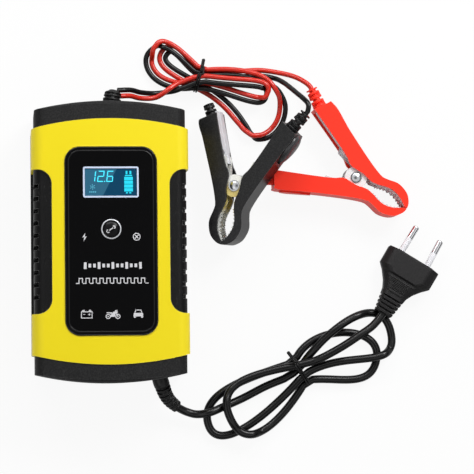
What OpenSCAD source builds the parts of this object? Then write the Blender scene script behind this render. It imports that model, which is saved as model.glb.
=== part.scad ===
// Car battery charger: moulded case with electronics, mains lead with plug, twin DC lead with two clamps.
// Millimetres. The case lies on its back, its face up; +Y runs towards the DC lead, +X to the right.

/* [Case] */
// Length of the case over both end caps
case_length = 170; // [160:1:180]
// Width across the side walls of the front cover
case_width = 94.8; // [90:0.2:100]
// Height of the case at the middle of its face
case_height = 50; // [46:0.5:56]
// Wall of the case mouldings
case_wall = 2.4; // [2:0.1:2.8]
// Plan radius of the arched ends
arch_radius = 190; // [150:5:240]
// Radius of the long upper edges
edge_radius = 8; // [6:0.5:10]
// Radius along which the face is crowned from side to side
crown_radius = 560; // [400:10:900]
// Radius of the long lower edges
foot_radius = 3; // [2.9:0.1:4]
// Radius of the arched upper edges of the ends
end_radius = 5; // [4:0.5:6]
// Length of an end cap at the middle
cap_length = 11; // [9:0.5:13]
// Step from the cover's side wall in to the cap's
cap_step = 1.8; // [1:0.1:2.4]
// Step from the cover's crown down to the cap's
cap_drop = 0.6; // [0.4:0.1:1]
// Height of the joint between the rear and the front cover
parting_height = 14; // [12:0.5:17]
// Gap between mouldings that butt together
seam = 0.15; // [0.1:0.05:0.25]

/* [Side grilles] */
// Length of a grille
grille_length = 86.8; // [76:0.4:94]
// Width of a grille on the face of the case
grille_width = 11; // [9.5:0.1:11.5]
// Radius of a grille's inward corners
grille_corner = 9; // [6:0.5:9.4]
// Step from the cover's side wall in to the grille
grille_step = 1.4; // [1:0.1:2]
// Vent slots in a grille
vent_count = 10; // [6:1:10]
// Spacing of the vent slots
vent_pitch = 7.4; // [6.6:0.1:7.8]
// Width of a vent slot
vent_width = 2.6; // [2:0.1:3.4]

/* [Face panel] */
// Width of the face panel
panel_width = 55.2; // [52:0.2:58]
// Length of the face panel
panel_length = 113; // [108:1:118]
// Corner radius of the face panel
panel_corner = 9; // [6:0.5:12]
// Thickness of the face panel
panel_thickness = 1.6; // [1.2:0.1:2]
// Height of the face panel above the cover's crown
panel_rise = 0.5; // [0.3:0.1:0.8]
// Ledge of the cover that the face panel is stuck to
panel_ledge = 3; // [2:0.5:4]
// Gap around the face panel in its recess
panel_gap = 0.2; // [0.1:0.05:0.3]

/* [Display] */
// Width over the display's frame
display_width = 33.5; // [31:0.5:36]
// Height over the display's frame
display_height = 18.8; // [17:0.2:21]
// Width of the frame's visible line
display_line = 1.1; // [0.8:0.1:1.5]
// Distance of the display from the middle of the case
display_y = 35.3; // [33:0.1:38]
// Thickness of the display glass
display_glass = 1.8; // [1.4:0.1:2.2]

/* [Repair button] */
// Outer diameter of the button's ring
ring_diameter = 12.3; // [11:0.1:14]
// Diameter of the button
button_diameter = 9; // [8:0.1:9.6]
// Running gap between button and ring
button_gap = 0.3; // [0.2:0.05:0.4]
// Distance of the button from the middle of the case
button_y = 7; // [4:0.5:10]
// Travel of the button
button_travel = 0.8; // [0.5:0.1:1]
// Height of the button above the face panel
button_rise = 1.6; // [1.4:0.1:2]

/* [Electronics] */
// Thickness of the circuit boards
board_thickness = 1.6; // [1.2:0.1:2]
// Height of the main board's underside
board_height = 8; // [7:0.5:9]
// Gap between the main board and the screw bosses
board_gap = 0.8; // [0.6:0.1:2.5]
// Length of the main board
board_length = 134; // [128:1:138]
// Length of the transformer's core
core_length = 28; // [24:1:32]
// Width of the transformer's core
core_width = 25; // [22:1:28]
// Height of the transformer's core
core_height = 22; // [18:1:24]
// Diameter of the mains capacitor
mains_cap_diameter = 16; // [13:0.5:18]
// Length of the mains capacitor
mains_cap_length = 25; // [20:1:30]
// Diameter of the output capacitors
output_cap_diameter = 10; // [8:0.5:12]
// Height of the output capacitors
output_cap_height = 20; // [16:1:22]
// Output capacitors
output_cap_count = 3; // [1:1:3]
// Fins of the heat sink
fin_count = 5; // [3:1:6]
// Diameter of the case screws' thread
screw_diameter = 3; // [2.6:0.1:3.4]

/* [Clamps] */
// Thickness of a clamp's grips along the rivet
clamp_thickness = 17; // [16:0.5:18]
// Distance from the rivet to the jaw tips
jaw_length = 37; // [35:0.5:39]
// Wall of the insulating grips
grip_wall = 1.6; // [1.3:0.1:1.8]
// Thickness of the jaws' sheet steel
jaw_sheet = 1; // [0.8:0.1:1.1]
// Side gap between jaws, and between jaws and grips
sheet_gap = 0.3; // [0.25:0.05:0.35]
// Diameter of the rivet
rivet_diameter = 4; // [3.4:0.1:4.4]
// Diameter of the rivet's heads
rivet_head = 6.8; // [6:0.1:7.2]
// Radial gap between rivet and jaws
rivet_gap = 0.05; // [0.03:0.01:0.08]
// Diameter of the spring wire
spring_wire = 1.2; // [1:0.1:1.3]
// Coils of the spring, counting the one that its legs leave open
spring_coils = 4; // [3:1:4]
// Mean radius of the spring's turns
spring_radius = 3.6; // [3.4:0.1:3.8]
// Length of the cord-side grips along the handle
cord_grip_length = 50; // [48:0.5:54]
// Length of the red clamp's free grip along the handle
red_free_length = 52; // [48:0.5:53.5]
// Length of the black clamp's free grip along the handle
black_free_length = 47; // [45:0.5:50]
// Length of a clamp's strain relief
relief_length = 12; // [10:0.5:14]
// Largest diameter of a clamp's strain relief
relief_diameter = 7.6; // [7:0.1:8.4]

/* [Mains plug] */
// Width of the plug
plug_width = 35.3; // [33:0.1:36]
// Thickness of the plug
plug_thickness = 13.7; // [13:0.1:14.5]
// Length of the plug's body
plug_length = 28.6; // [27:0.2:31]
// Length of the plug's ribbed tail
plug_tail = 10.6; // [9:0.2:12]
// Diameter of the pins
pin_diameter = 4; // [3.8:0.1:4.8]
// Length of the pins
pin_length = 19; // [17:0.5:20]
// Spacing of the pins where they leave the plug
pin_spacing = 18.6; // [18:0.1:19]
// Spacing of the pins at their tips
pin_tip_spacing = 17.5; // [17:0.1:18]
// Length of the pins' insulating sleeves
sleeve_length = 10; // [8:0.5:11]

/* [Cords] */
// Diameter of the mains cord
mains_diameter = 5; // [4.6:0.1:5]
// Diameter of one lead of the twin DC cord
dc_diameter = 3.2; // [2.8:0.1:3.2]
// Gap between the two leads of the DC cord
twin_gap = 0.45; // [0.4:0.05:0.5]
// Diameter of the mains strain relief where it leaves the case
mains_relief_diameter = 10; // [9:0.2:10.6]
// Diameter of the DC strain relief where it leaves the case
dc_relief_diameter = 11.6; // [11:0.2:12.4]

/* [Hidden] */
$fn = 64;

// Colours
yellow = "#F7E425";
charcoal = "#343436";
black = "#1C1C1E";
steel = "#C9CCD0";
red = "#FF4030";
copper = "#C47A3A";
green = "#1F5B3A";

// Case
half_length = case_length / 2;
half_width = case_width / 2;
arch_centre = half_length - arch_radius;
joint_centre = arch_centre - cap_length;
lip = 1.7;            // Thickness of the lips and tongues that locate the mouldings
lip_gap = 0.2;
tongue_reach = 4;
grille_floor = parting_height + 2; // Height above which a grille is thick
grille_in = half_width - grille_width - 1.1;
screw_head = 5.6;
boss_x = half_width - 6.4;
boss_y = half_length - 27;

// Points from the ends of the case: so far across, out and up
function head(x, out, z) = [x, half_length + out, z];
function foot(x, out, z) = [x, -half_length - out, z];

// Heights behind the face panel
panel_top = case_height + panel_rise;
panel_floor = panel_top - panel_thickness;
button_base = panel_floor - 0.7;
board_top = button_base - 3.4;
ring_flange = panel_floor - 0.2;

// Boards
display_board_size = [panel_width + 1.8, panel_length - 53];
display_board_y = display_y - 13.3;
board_half = boss_x - 4.2 - board_gap;
post_x = board_half - 6;
post_y = board_length / 2 - 7;
board_up = board_height + board_thickness;
part_up = board_up + 0.1;
core_x = 2;
sink_x = core_x + core_width / 2 + 5.5;
sink_length = 0.37 * board_length;
sink_height = 0.54 * case_height;
fin_length = board_half - 4 - sink_x;
exit_x = half_width - 17;       // Place of the mains lead's exit
mains_exit_height = 0.4 * case_height;
dc_exit_height = case_height / 2;

// Clamps
handle_angle = 33;
handle_axis = [sin(handle_angle), cos(handle_angle)];
half_clamp = clamp_thickness / 2;
grip_inside = half_clamp - grip_wall;
cord_jaw_out = grip_inside - sheet_gap;
free_jaw_out = cord_jaw_out - jaw_sheet - sheet_gap;
ear_radius = 7;
tooth = 1;
grip_outer = [
    [30.9, 38.8], [31.6, 36.3], [23.5, 20.1], [14.1, 0.2], [9.3, -12], [9.2, -17],
    [10.6, -23.5], [9.8, -28.5], [7.6, -33], [3.5, -36.2], [0.35, -37]
];
grip_inner = [
    [0.35, -35.2], [3.1, -31], [4.9, -26.7], [5.3, -21], [3.3, -13.4], [2.9, -8.5],
    [4.2, -2.8], [4.3, 2.3], [4.8, 7.3], [9.6, 15], [22.3, 44.4]
];
red_pivot = [154, 41, half_clamp];
red_turn = [0, 0, 57.8];
black_pivot = [79.5, 35.5, 17.2 + half_clamp - 8.5];
black_turn = [6.7, -22, -12];
handle_end = [26.6, 41.6, 0] + (cord_grip_length - 50) * [handle_axis[0], handle_axis[1], 0];
relief_end = handle_end + (relief_length + 0.15) * [handle_axis[0], handle_axis[1], 0];

// Cords
loop_rings = 24;
tie_half = 4;         // Half the length that a strand takes to bend inside a tie
twin_pitch = dc_diameter + twin_gap;
mains_tie_at = [119, -79, 0];
mains_waist = 35;
// A pass through a tie = [offset across the waist, height, heading on the left, heading on the right]
mains_passes = [
    [1.4, 3, 30, 56],
    [-2.6, 6.4, 48, 29],
    [7, 3, 18, 60],
    [-6.4, 3, 58, 4],
    [4.6, 9.1, 10, 14]
];
// A loop = [reach, direction, lean of the tip, handle out, handle before the tip, after it, handle back,
// heights on the way, rolls of the twin lead on the way]
mains_loops = [
    [62, 22, -12, 30, 28, 24, 28, [7.3, 9.2, 7.5, 3.2, 2.6, 2.6, 3.5, 8.1, 8.3, 8, 7]],
    [66, 209, -12, 30, 20, 20, 28, [4, 2.6, 2.6, 2.6, 2.6, 2.6, 2.6]],
    [49, 10, -18, 24, 20, 20, 18, [2.6, 2.6, 2.6, 2.6, 2.6, 2.6]],
    [53, 212, -8, 30, 24, 22, 28, [2.6, 2.6, 3.6, 8.1, 8.6, 11.3, 11.3, 9.8, 9.2, 9.1, 9.1]]
];
dc_tie_at = [57.5, 103.8, 0];
dc_waist = -15;
dc_passes = [
    [0, 9.8, 22, -8],
    [-3.7, 6, 8, -10],
    [3.7, 6, -44, 4],
    [-3.7, 2, -30, -27],
    [3.7, 2, -42, 2]
];
dc_loops = [
    [43.2, -13.5, 0, 26, 9, 9, 22, [10, 10, 7, 6, 6], [0, 0, 30, 90, 150, 180, 180]],
    [34, 152, 4, 16, 12, 14, 16, [4, 2, 2, 4, 6, 6], [180, 180, 180, 180, 90, 0, 0, 0]],
    [52, -44.5, -45.5, 65, 18, 9, 26, [6.1, 5.8, 4.6, 3.4, 2.4, 2, 1.8, 1.8, 1.8, 1.8, 1.8],
        [0, 30, 120, 180, 170, 130, 70, 30, 0, 0, 0]],
    [27, 141, 0, 12, 9, 9, 12, [2, 2, 2, 2]]
];

function unit(v) = v / norm(v);
function turn(a) = [cos(a), sin(a), 0];
function xyz(p) = [p[0], p[1], p[2]];
function last(list) = list[len(list) - 1];
function reversed(list) = [for (i = [len(list) - 1:-1:0]) list[i]];

function bezier(a, b, c, d, t) =
    pow(1 - t, 3) * a + 3 * pow(1 - t, 2) * t * b + 3 * (1 - t) * t * t * c + t * t * t * d;

// Smooth curve through points, with so many steps between each pair
function through(pts, steps) = [
    for (i = [0:len(pts) - 2], k = [0:steps - 1])
        let (
            a = pts[max(i - 1, 0)],
            b = pts[i],
            c = pts[i + 1],
            d = pts[min(i + 2, len(pts) - 1)],
            t = k / steps
        )
        b + 0.5 * t * (c - a + t * (2 * a - 5 * b + 4 * c - d + t * (3 * b - a - 3 * c + d))),
    last(pts)
];

// Value at t from 0 to 1 along evenly spaced values, level at each of them
function eased(list, t) =
    let (s = t * (len(list) - 1), i = min(floor(s), len(list) - 2), f = s - i, g = f * f * (3 - 2 * f))
    list[i] * (1 - g) + list[i + 1] * g;

function tangents(p) = [for (i = [0:len(p) - 1]) unit(p[min(i + 1, len(p) - 1)] - p[max(i - 1, 0)])];

// A flat path shifted to its left
function shifted(p, by) =
    let (t = tangents(p))
    [for (i = [0:len(p) - 1]) p[i] + by * [-t[i][1], t[i][0]]];

// Cord routes through a tie and around its loops
function slot(tie, waist, pass) = tie + pass[0] * turn(waist + 90) + [0, 0, pass[1]];
function away(pass, side) = side > 0 ? turn(pass[3]) : -turn(pass[2]);
function lobe(tie, waist, from, to, side, loop) =
    let (
        leave = away(from, side),
        arrive = away(to, side),
        start = slot(tie, waist, from) + tie_half * leave,
        stop = slot(tie, waist, to) + tie_half * arrive,
        tip = tie + loop[0] * turn(loop[1]),
        across = turn(loop[1] - 90 + loop[2])
    )
    [
        for (i = [0:loop_rings])
            let (
                t = i / loop_rings,
                p = t < 0.5
                    ? bezier(start, start + loop[3] * leave, tip - loop[4] * across, tip, 2 * t)
                    : bezier(tip, tip + loop[5] * across, stop + loop[6] * arrive, stop, 2 * t - 1)
            )
            [p[0], p[1], eased([from[1], each loop[7], to[1]], t), len(loop) > 8 ? eased(loop[8], t) : 0]
    ];
function hank(tie, waist, passes, loops, lead) =
    let (n = len(loops), end = n % 2 == 0 ? 1 : -1)
    [
        slot(tie, waist, passes[0]) + (tie_half + lead) * away(passes[0], -1),
        slot(tie, waist, passes[0]) + tie_half * away(passes[0], -1),
        for (i = [0:n - 1]) each lobe(tie, waist, passes[i], passes[i + 1], i % 2 == 0 ? 1 : -1, loops[i]),
        slot(tie, waist, passes[n]) + tie_half * away(passes[n], end),
        slot(tie, waist, passes[n]) + (tie_half + lead) * away(passes[n], end)
    ];

// Points of a strand's middle where it crosses a tie
function strand_at(waist, pass) =
    [pass[0] + tie_half / 2 * (sin(pass[3] - waist) - sin(pass[2] - waist)), pass[1]];

// One lead of a twin cord beside its centre line, turned about it by each point's roll
function twin(route, side) =
    let (line = [for (p = route) xyz(p)], t = tangents(line))
    [
        for (i = [0:len(line) - 1])
            let (
                roll = len(route[i]) > 3 ? route[i][3] : 0,
                left = unit(cross([0, 0, 1], t[i])),
                up = cross(t[i], left)
            )
            line[i] + side * twin_pitch / 2 * (cos(roll) * left + sin(roll) * up)
                + [0, 0, abs(sin(roll)) * twin_pitch / 2]
    ];

// Route from one end to another, straight at both; each direction points away from its end
function joined(a, a_way, pts, b, b_way, steps) =
    let (all = through([a, a + 2 * a_way, each pts, b + 2 * b_way, b], steps))
    [a, for (i = [steps:len(all) - 1 - steps]) all[i], b];

// Least distance between middles that are further apart than a stretch of the route
function own_gap(p, skip) =
    min([for (i = [0:len(p) - 1 - skip]) min([for (j = [i + skip:len(p) - 1]) norm(p[i] - p[j])])]);
function halved(p) = [for (i = [0:len(p) - 2]) each [p[i], (p[i] + p[i + 1]) / 2], last(p)];

// Turns a point of a clamp into one of the whole object
function spin(a, v) = [v[0] * cos(a) - v[1] * sin(a), v[0] * sin(a) + v[1] * cos(a), v[2]];
function tip_y(a, v) = [v[0] * cos(a) + v[2] * sin(a), v[1], -v[0] * sin(a) + v[2] * cos(a)];
function tip_x(a, v) = [v[0], v[1] * cos(a) - v[2] * sin(a), v[1] * sin(a) + v[2] * cos(a)];
function posed(angles, v) = spin(angles[2], tip_x(angles[0], tip_y(angles[1], v)));

handle_way = [handle_axis[0], handle_axis[1], 0];
red_way = posed(red_turn, handle_way);
black_way = posed(black_turn, handle_way);
red_cord_end = red_pivot + posed(red_turn, relief_end);
black_cord_end = black_pivot + posed(black_turn, relief_end);

mains_relief_path = through([
    foot(exit_x - 1.1, -10, mains_exit_height),
    foot(exit_x - 0.5, -6.5, mains_exit_height),
    foot(exit_x, -3, mains_exit_height),
    foot(exit_x + 1, 2, mains_exit_height - 0.8),
    foot(exit_x + 3.2, 7.2, mains_exit_height - 4),
    foot(exit_x + 6.2, 11, mains_exit_height - 7.4),
    foot(exit_x + 10.2, 14.2, mains_exit_height - 10.4)
], 4);
mains_relief_way = unit(last(mains_relief_path) - mains_relief_path[len(mains_relief_path) - 2]);
dc_relief_path = through([
    head(0.4, -9, dc_exit_height),
    head(0.5, -4, dc_exit_height),
    head(0.6, 1, dc_exit_height),
    head(1.7, 4.6, dc_exit_height - 0.2),
    head(4.5, 7, dc_exit_height - 1),
    head(8.4, 7.6, dc_exit_height - 2.6)
], 5);
dc_relief_way = unit(last(dc_relief_path) - dc_relief_path[len(dc_relief_path) - 2]);

mains_hank_route = [for (p = hank(mains_tie_at, mains_waist, mains_passes, mains_loops, 5)) xyz(p)];
mains_run_route = joined(
    last(mains_relief_path), mains_relief_way,
    [
        foot(exit_x + 17.2, 18, 6.6), foot(exit_x + 23.6, 19.6, 6.5), foot(exit_x + 31.6, 18.5, 8.2),
        [71, -100, 5.6], [83, -95, 2.8], [97, -88, 2.6]
    ],
    mains_hank_route[0], -turn(mains_passes[0][2]), 3
);
plug_front = [190.9, -10, 7.15];
plug_turn = [-3, 0, -31.5];
plug_way = posed(plug_turn, [0, 1, 0]);
plug_end = plug_front - (plug_length + plug_tail) * plug_way;
mains_plug_route = joined(
    last(mains_hank_route), turn(mains_passes[4][3]),
    [[134, -69.5, 11], [145, -63.5, 12], [156, -56.5, 11.6], [163.6, -51.3, 10.4]],
    plug_end, -plug_way, 3
);

dc_route = hank(dc_tie_at, dc_waist, dc_passes, dc_loops, 8);
dc_red_hank = twin(dc_route, 1);
dc_black_hank = twin(dc_route, -1);
dc_run_route = [
    [each last(dc_relief_path), 180],
    each through([
        [each (last(dc_relief_path) + 3 * dc_relief_way), 180],
        [each head(14.8, 8, 19), 180],
        [each head(21, 7.2, 14), 176],
        [30, 92.8, 9.2, 140],
        [39.2, 96.1, 8.8, 60],
        [each (xyz(dc_route[0]) - 2 * turn(dc_passes[0][2])), 0]
    ], 4),
    [each xyz(dc_route[0]), 0]
];
dc_end_way = turn(dc_passes[4][3]);
red_lead_route = joined(
    last(dc_red_hank), dc_end_way,
    [[84, 109.3, 1.8], [97, 109.7, 1.8], [110, 107.8, 2], [118, 105.2, 4.6], [123.8, 101.6, 7.4]],
    red_cord_end, red_way, 3
);
black_lead_route = joined(
    last(dc_black_hank), dc_end_way,
    [
        [84, 105.8, 1.8], [97, 106.1, 1.8], [105, 104.4, 4], [109.6, 101.2, 10],
        [113, 97, 17.5], [116.4, 92.2, 25.8], [119.6, 87.8, 32.8], [121.9, 84, 36.1]
    ],
    black_cord_end, black_way, 3
);

echo("Mains hank: least gap", own_gap(halved(mains_hank_route), 6) - mains_diameter);
echo("Red DC hank: least gap", own_gap(halved(dc_red_hank), 14) - dc_diameter);
echo("Black DC hank: least gap", own_gap(halved(dc_black_hank), 14) - dc_diameter);

module along_y(length) {
    rotate([90, 0, 0])
        linear_extrude(length, center = true)
            children();
}

module rounded(width, height, radius) {
    square([width - 2 * radius, height], center = true);
    square([width, height - 2 * radius], center = true);
    for (x = [radius - width / 2, width / 2 - radius], y = [radius - height / 2, height / 2 - radius])
        translate([x, y])
            circle(radius);
}

// A tube through a route, its radius one number or one for each point
module tube(route, radii, sides) {
    t = tangents(route);
    n = len(route);
    points = [
        for (i = [0:n - 1])
            let (
                left = unit(cross([0, 0, 1], t[i])),
                up = cross(t[i], left),
                r = is_list(radii) ? radii[i] : radii
            )
            for (k = [0:sides - 1]) route[i] + r * (cos(360 * k / sides) * left + sin(360 * k / sides) * up)
    ];
    faces = [
        for (k = [1:sides - 2]) [0, k, k + 1],
        for (i = [0:n - 2], k = [0:sides - 1])
            let (a = i * sides + k, b = i * sides + (k + 1) % sides)
            each [[a, a + sides, b + sides], [a, b + sides, b]],
        for (k = [1:sides - 2]) [(n - 1) * sides, (n - 1) * sides + k + 1, (n - 1) * sides + k]
    ];
    polyhedron(points, faces);
}

// A cable tie around the strands that cross it at the given points
module tie(at, waist, points, radius) {
    translate(at)
        rotate([0, 0, waist])
            rotate([90, 0, 90])
                linear_extrude(2.4, center = true)
                    difference() {
                        hull()
                            for (p = points)
                                translate(p)
                                    circle(radius + 0.85, $fn = 32);
                        hull()
                            for (p = points)
                                translate(p)
                                    circle(radius + 0.45, $fn = 32);
                    }
}

// Turned piece with square ribs that taper from one radius to another
module ribbed(length, radius, end_radius, ribs) {
    pitch = length / ribs;
    rotate_extrude()
        polygon([
            [0, 0],
            for (i = [0:ribs - 1])
                let (r = radius + (end_radius - radius) * i / (ribs - 1))
                each [
                    [r, i * pitch], [r, (i + 0.6) * pitch],
                    [0.78 * r, (i + 0.6) * pitch], [0.78 * r, (i + 1) * pitch]
                ],
            [0, length]
        ]);
}

// Case mouldings

// Cross-section of the case, drawn in by the given amounts
module section(side, top, bottom) {
    half = half_width - side;
    radius = max(edge_radius - top, 0.6);
    foot = max(foot_radius - bottom, 0.6);
    crown = crown_radius - top;
    corner_x = half - radius;
    corner_z = case_height - crown_radius + sqrt(pow(crown - radius, 2) - pow(corner_x, 2));
    tangent_x = corner_x * crown / (crown - radius);
    intersection() {
        translate([0, case_height - crown_radius])
            circle(crown, $fn = 720);
        translate([-tangent_x, bottom + foot])
            square([2 * tangent_x, case_height]);
    }
    translate([-half, bottom + foot])
        square([2 * half, corner_z - bottom - foot]);
    translate([foot - half, bottom])
        square([2 * (half - foot), foot]);
    for (x = [-corner_x, corner_x])
        translate([x, corner_z])
            circle(radius);
    for (x = [foot - half, half - foot])
        translate([x, bottom + foot])
            circle(foot);
}

module shell(outer, inner) {
    difference() {
        along_y(2 * case_length)
            section(outer, outer, outer);
        along_y(2 * case_length + 2)
            section(inner, inner, inner);
    }
}

module joint_disc(out) {
    translate([0, joint_centre + out, -1])
        cylinder(r = arch_radius, h = case_height + 4, $fn = 720);
}

module arch_disc(inset) {
    reach = arch_radius - inset;
    radius = end_radius - inset;
    top = case_height + 1.4 - inset;
    translate([0, arch_centre, -1])
        rotate_extrude($fn = 720) {
            square([reach - radius, top]);
            square([reach, top - radius]);
            translate([reach - radius, top - radius])
                circle(radius, $fn = 48);
        }
}

module between(low, high) {
    intersection() {
        children();
        joint_disc(-seam);
        mirror([0, 1, 0])
            joint_disc(-seam);
        translate([-case_width, -case_length, low])
            cube([2 * case_width, 2 * case_length, high - low]);
    }
}

module crown_form(inset) {
    translate([0, 0, case_height - crown_radius])
        rotate([90, 0, 0])
            cylinder(r = crown_radius - inset, h = 2 * case_length, center = true, $fn = 720);
}

module panel_prism(grow) {
    translate([0, 0, case_height - 10])
        linear_extrude(20)
            rounded(panel_width + 2 * grow, panel_length + 2 * grow, panel_corner + grow);
}

module grille_prism(grow, floor) {
    x = grille_in - grow;
    half = grille_length / 2 + grow;
    radius = grille_corner + grow;
    translate([0, 0, floor])
        linear_extrude(case_height) {
            translate([x + radius, -half])
                square([case_width / 2, 2 * half]);
            translate([x, radius - half])
                square([case_width / 2, 2 * (half - radius)]);
            for (y = [radius - half, half - radius])
                translate([x + radius, y])
                    circle(radius);
        }
}

module four(x, y) {
    for (i = [-x, x], j = [-y, y])
        translate([i, j, 0])
            children();
}

module front_cover() {
    color(yellow)
        difference() {
            union() {
                between(parting_height + seam / 2, case_height + 2)
                    shell(0, case_wall);
                intersection() {
                    along_y(case_length)
                        section(case_wall - 0.4, case_wall - 0.4, case_wall - 0.4);
                    union() {
                        four(boss_x, boss_y)
                            translate([0, 0, board_height])
                                cylinder(d = 7.4, h = case_height);
                        translate([0, display_board_y, board_top + 0.05])
                            four(display_board_size[0] / 2 - 1.9, display_board_size[1] / 2 - 5)
                                cylinder(d = 4.4, h = 10);
                    }
                }
            }
            for (side = [0, 1])
                mirror([side, 0, 0])
                    grille_prism(0, parting_height);
            difference() {
                panel_prism(panel_gap);
                crown_form(panel_thickness - panel_rise + 0.05);
            }
            panel_prism(-panel_ledge);
            four(boss_x, boss_y)
                translate([0, 0, board_height - 1])
                    cylinder(d = screw_diameter + 0.1, h = 22);
        }
}

module rear_cover() {
    color(charcoal)
        difference() {
            union() {
                between(-1, parting_height - seam / 2)
                    shell(0, case_wall);
                intersection() {
                    union() {
                        difference() {
                            shell(case_wall - 0.2, case_wall + lip_gap + lip);
                            translate([-case_width, -case_length, parting_height - 0.3])
                                cube([2 * case_width, 2 * case_length, case_height]);
                        }
                        shell(case_wall + lip_gap, case_wall + lip_gap + lip);
                    }
                    translate([-case_width, -50, board_height - 1])
                        cube([2 * case_width, 100, parting_height + 1.6 - board_height + 1]);
                }
                four(boss_x, boss_y)
                    translate([0, 0, 0.5])
                        cylinder(d = 8.4, h = board_height - 0.6);
                four(post_x, post_y) {
                    translate([0, 0, 1])
                        cylinder(d = 6, h = board_height - 1);
                    cylinder(d = 2.6, h = board_up + 1);
                }
            }
            four(boss_x, boss_y) {
                translate([0, 0, -1])
                    cylinder(d = screw_head + 0.8, h = 4.2);
                cylinder(d = screw_diameter + 0.4, h = board_height + 1);
            }
        }
}

// The cap at the +Y end
module cap() {
    difference() {
        intersection() {
            along_y(2 * case_length)
                section(cap_step, cap_drop, 0);
            arch_disc(0);
        }
        intersection() {
            along_y(2 * case_length)
                section(cap_step + case_wall, cap_drop + case_wall, case_wall);
            arch_disc(case_wall);
        }
        joint_disc(0);
    }
    difference() {
        intersection() {
            shell(case_wall + lip_gap, case_wall + lip_gap + lip);
            joint_disc(3);
        }
        joint_disc(-tongue_reach);
    }
}

module top_cap() {
    color(charcoal)
        difference() {
            cap();
            translate([0.65, half_length, dc_exit_height])
                rotate([90, 0, 0])
                    cylinder(d = 9.4, h = 12, center = true);
        }
}

module bottom_cap() {
    color(charcoal)
        difference() {
            mirror([0, 1, 0])
                cap();
            translate(foot(exit_x - 0.25, -4.5, mains_exit_height))
                rotate([90, 0, 8.1])
                    cylinder(d = 8.6, h = 12, center = true);
        }
}

module grille() {
    color(black)
        difference() {
            union() {
                intersection() {
                    shell(grille_step, case_wall + 0.1);
                    grille_prism(-seam, parting_height + seam);
                }
                intersection() {
                    shell(grille_step, grille_step + 2.5);
                    grille_prism(-seam, grille_floor);
                }
                intersection() {
                    shell(case_wall + 0.1, grille_step + 2.5);
                    grille_prism(2, grille_floor);
                }
            }
            for (i = [0:vent_count - 1])
                translate([half_width - 4.2, (i - (vent_count - 1) / 2) * vent_pitch - vent_width / 2, 24])
                    cube([10, vent_width, case_height]);
        }
}

module right_grille() {
    grille();
}

module left_grille() {
    mirror([1, 0, 0])
        grille();
}

// Face panel, display and button

module face_panel() {
    color(black)
        difference() {
            intersection() {
                panel_prism(0);
                crown_form(-panel_rise);
            }
            crown_form(panel_thickness - panel_rise);
            translate([0, display_y, case_height - 10])
                linear_extrude(20)
                    rounded(display_width, display_height, 1.2);
            translate([0, button_y, case_height - 10])
                cylinder(d = ring_diameter, h = 20);
        }
}

module lcd_frame() {
    color("#C9D6EE")
        translate([0, display_y, 0])
            difference() {
                union() {
                    translate([0, 0, panel_floor - 2.3])
                        linear_extrude(panel_thickness + 2.3)
                            rounded(display_width - 0.2, display_height - 0.2, 1.1);
                    translate([0, 0, panel_floor - 1.6])
                        linear_extrude(1)
                            rounded(display_width + 3, display_height + 3, 1.1);
                }
                translate([0, 0, panel_floor - 3])
                    linear_extrude(10)
                        square([display_width, display_height] - 2 * display_line * [1, 1], center = true);
            }
}

module display_slab(low, high) {
    translate([0, display_y, low])
        linear_extrude(high - low)
            square([display_width, display_height] - (2 * display_line + 0.2) * [1, 1], center = true);
}

module lcd_cell() {
    color("#12486B")
        display_slab(panel_top - 0.5 - display_glass, panel_top - 0.5);
}

module lcd_backlight() {
    color("#E8EEF4")
        display_slab(board_top + 0.05, panel_top - 0.55 - display_glass);
}

module button_ring() {
    outer = ring_diameter / 2 - 0.1;
    inner = button_diameter / 2 + button_gap;
    wall = outer - inner;
    color(steel)
        translate([0, button_y, 0])
            rotate_extrude() {
                translate([inner, panel_floor])
                    square([wall, panel_top + 0.9 - wall / 2 - panel_floor]);
                translate([inner + wall / 2, panel_top + 0.9 - wall / 2])
                    circle(wall / 2);
                translate([outer - 0.45, panel_floor - 1.5])
                    square([0.45, 1.8]);
                translate([outer - 0.45, panel_floor - 1.5])
                    square([1.8, 1.3]);
            }
}

module repair_button() {
    radius = button_diameter / 2;
    dome = button_rise - 0.4;
    ball = (radius * radius + dome * dome) / (2 * dome);
    color(black)
        translate([0, button_y, 0])
            rotate_extrude() {
                translate([0, button_base])
                    square([radius, panel_top + 0.4 - button_base]);
                intersection() {
                    translate([0, panel_top + button_rise - ball])
                        circle(ball);
                    translate([0, panel_top])
                        square([radius, 5]);
                }
                translate([0, button_base])
                    square([ring_diameter / 2 - 0.85, 0.4]);
            }
}

module display_board() {
    color(green)
        translate([0, display_board_y, board_top - board_thickness])
            linear_extrude(board_thickness)
                difference() {
                    square(display_board_size, center = true);
                    for (side = [-1, 1])
                        translate([side * (display_board_size[0] / 2 - 8.5), 4 - display_board_size[1] / 2])
                            circle(1.6);
                }
}

module tact_switch() {
    color(steel)
        translate([0, button_y, board_top + 0.02]) {
            translate([-3, -3, 0])
                cube([6, 6, 1.4]);
            cylinder(d = 3.4, h = 1.8);
        }
}

// Power supply

module main_board() {
    color(green)
        translate([0, 0, board_height])
            linear_extrude(board_thickness)
                difference() {
                    square([2 * board_half, board_length], center = true);
                    for (x = [-post_x, post_x], y = [-post_y, post_y])
                        translate([x, y])
                            circle(1.5);
                }
}

core_leg = 7;
core_y = -12;
core_depth = 0.44 * core_width;
core_plate = core_height * 0.18;
core_window = core_length / 2 - 4 - core_leg / 2;

module transformer_core() {
    color("#4A4A4C")
        translate([core_x, core_y, part_up])
            rotate([90, 0, 90])
                linear_extrude(core_depth, center = true)
                    difference() {
                        translate([-core_length / 2, 0])
                            square([core_length, core_height]);
                        for (side = [-1, 1])
                            translate([side * (core_leg / 2 + core_length / 2 - 4) / 2, core_height / 2])
                                square([core_window, core_height - 2 * core_plate], center = true);
                    }
}

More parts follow.
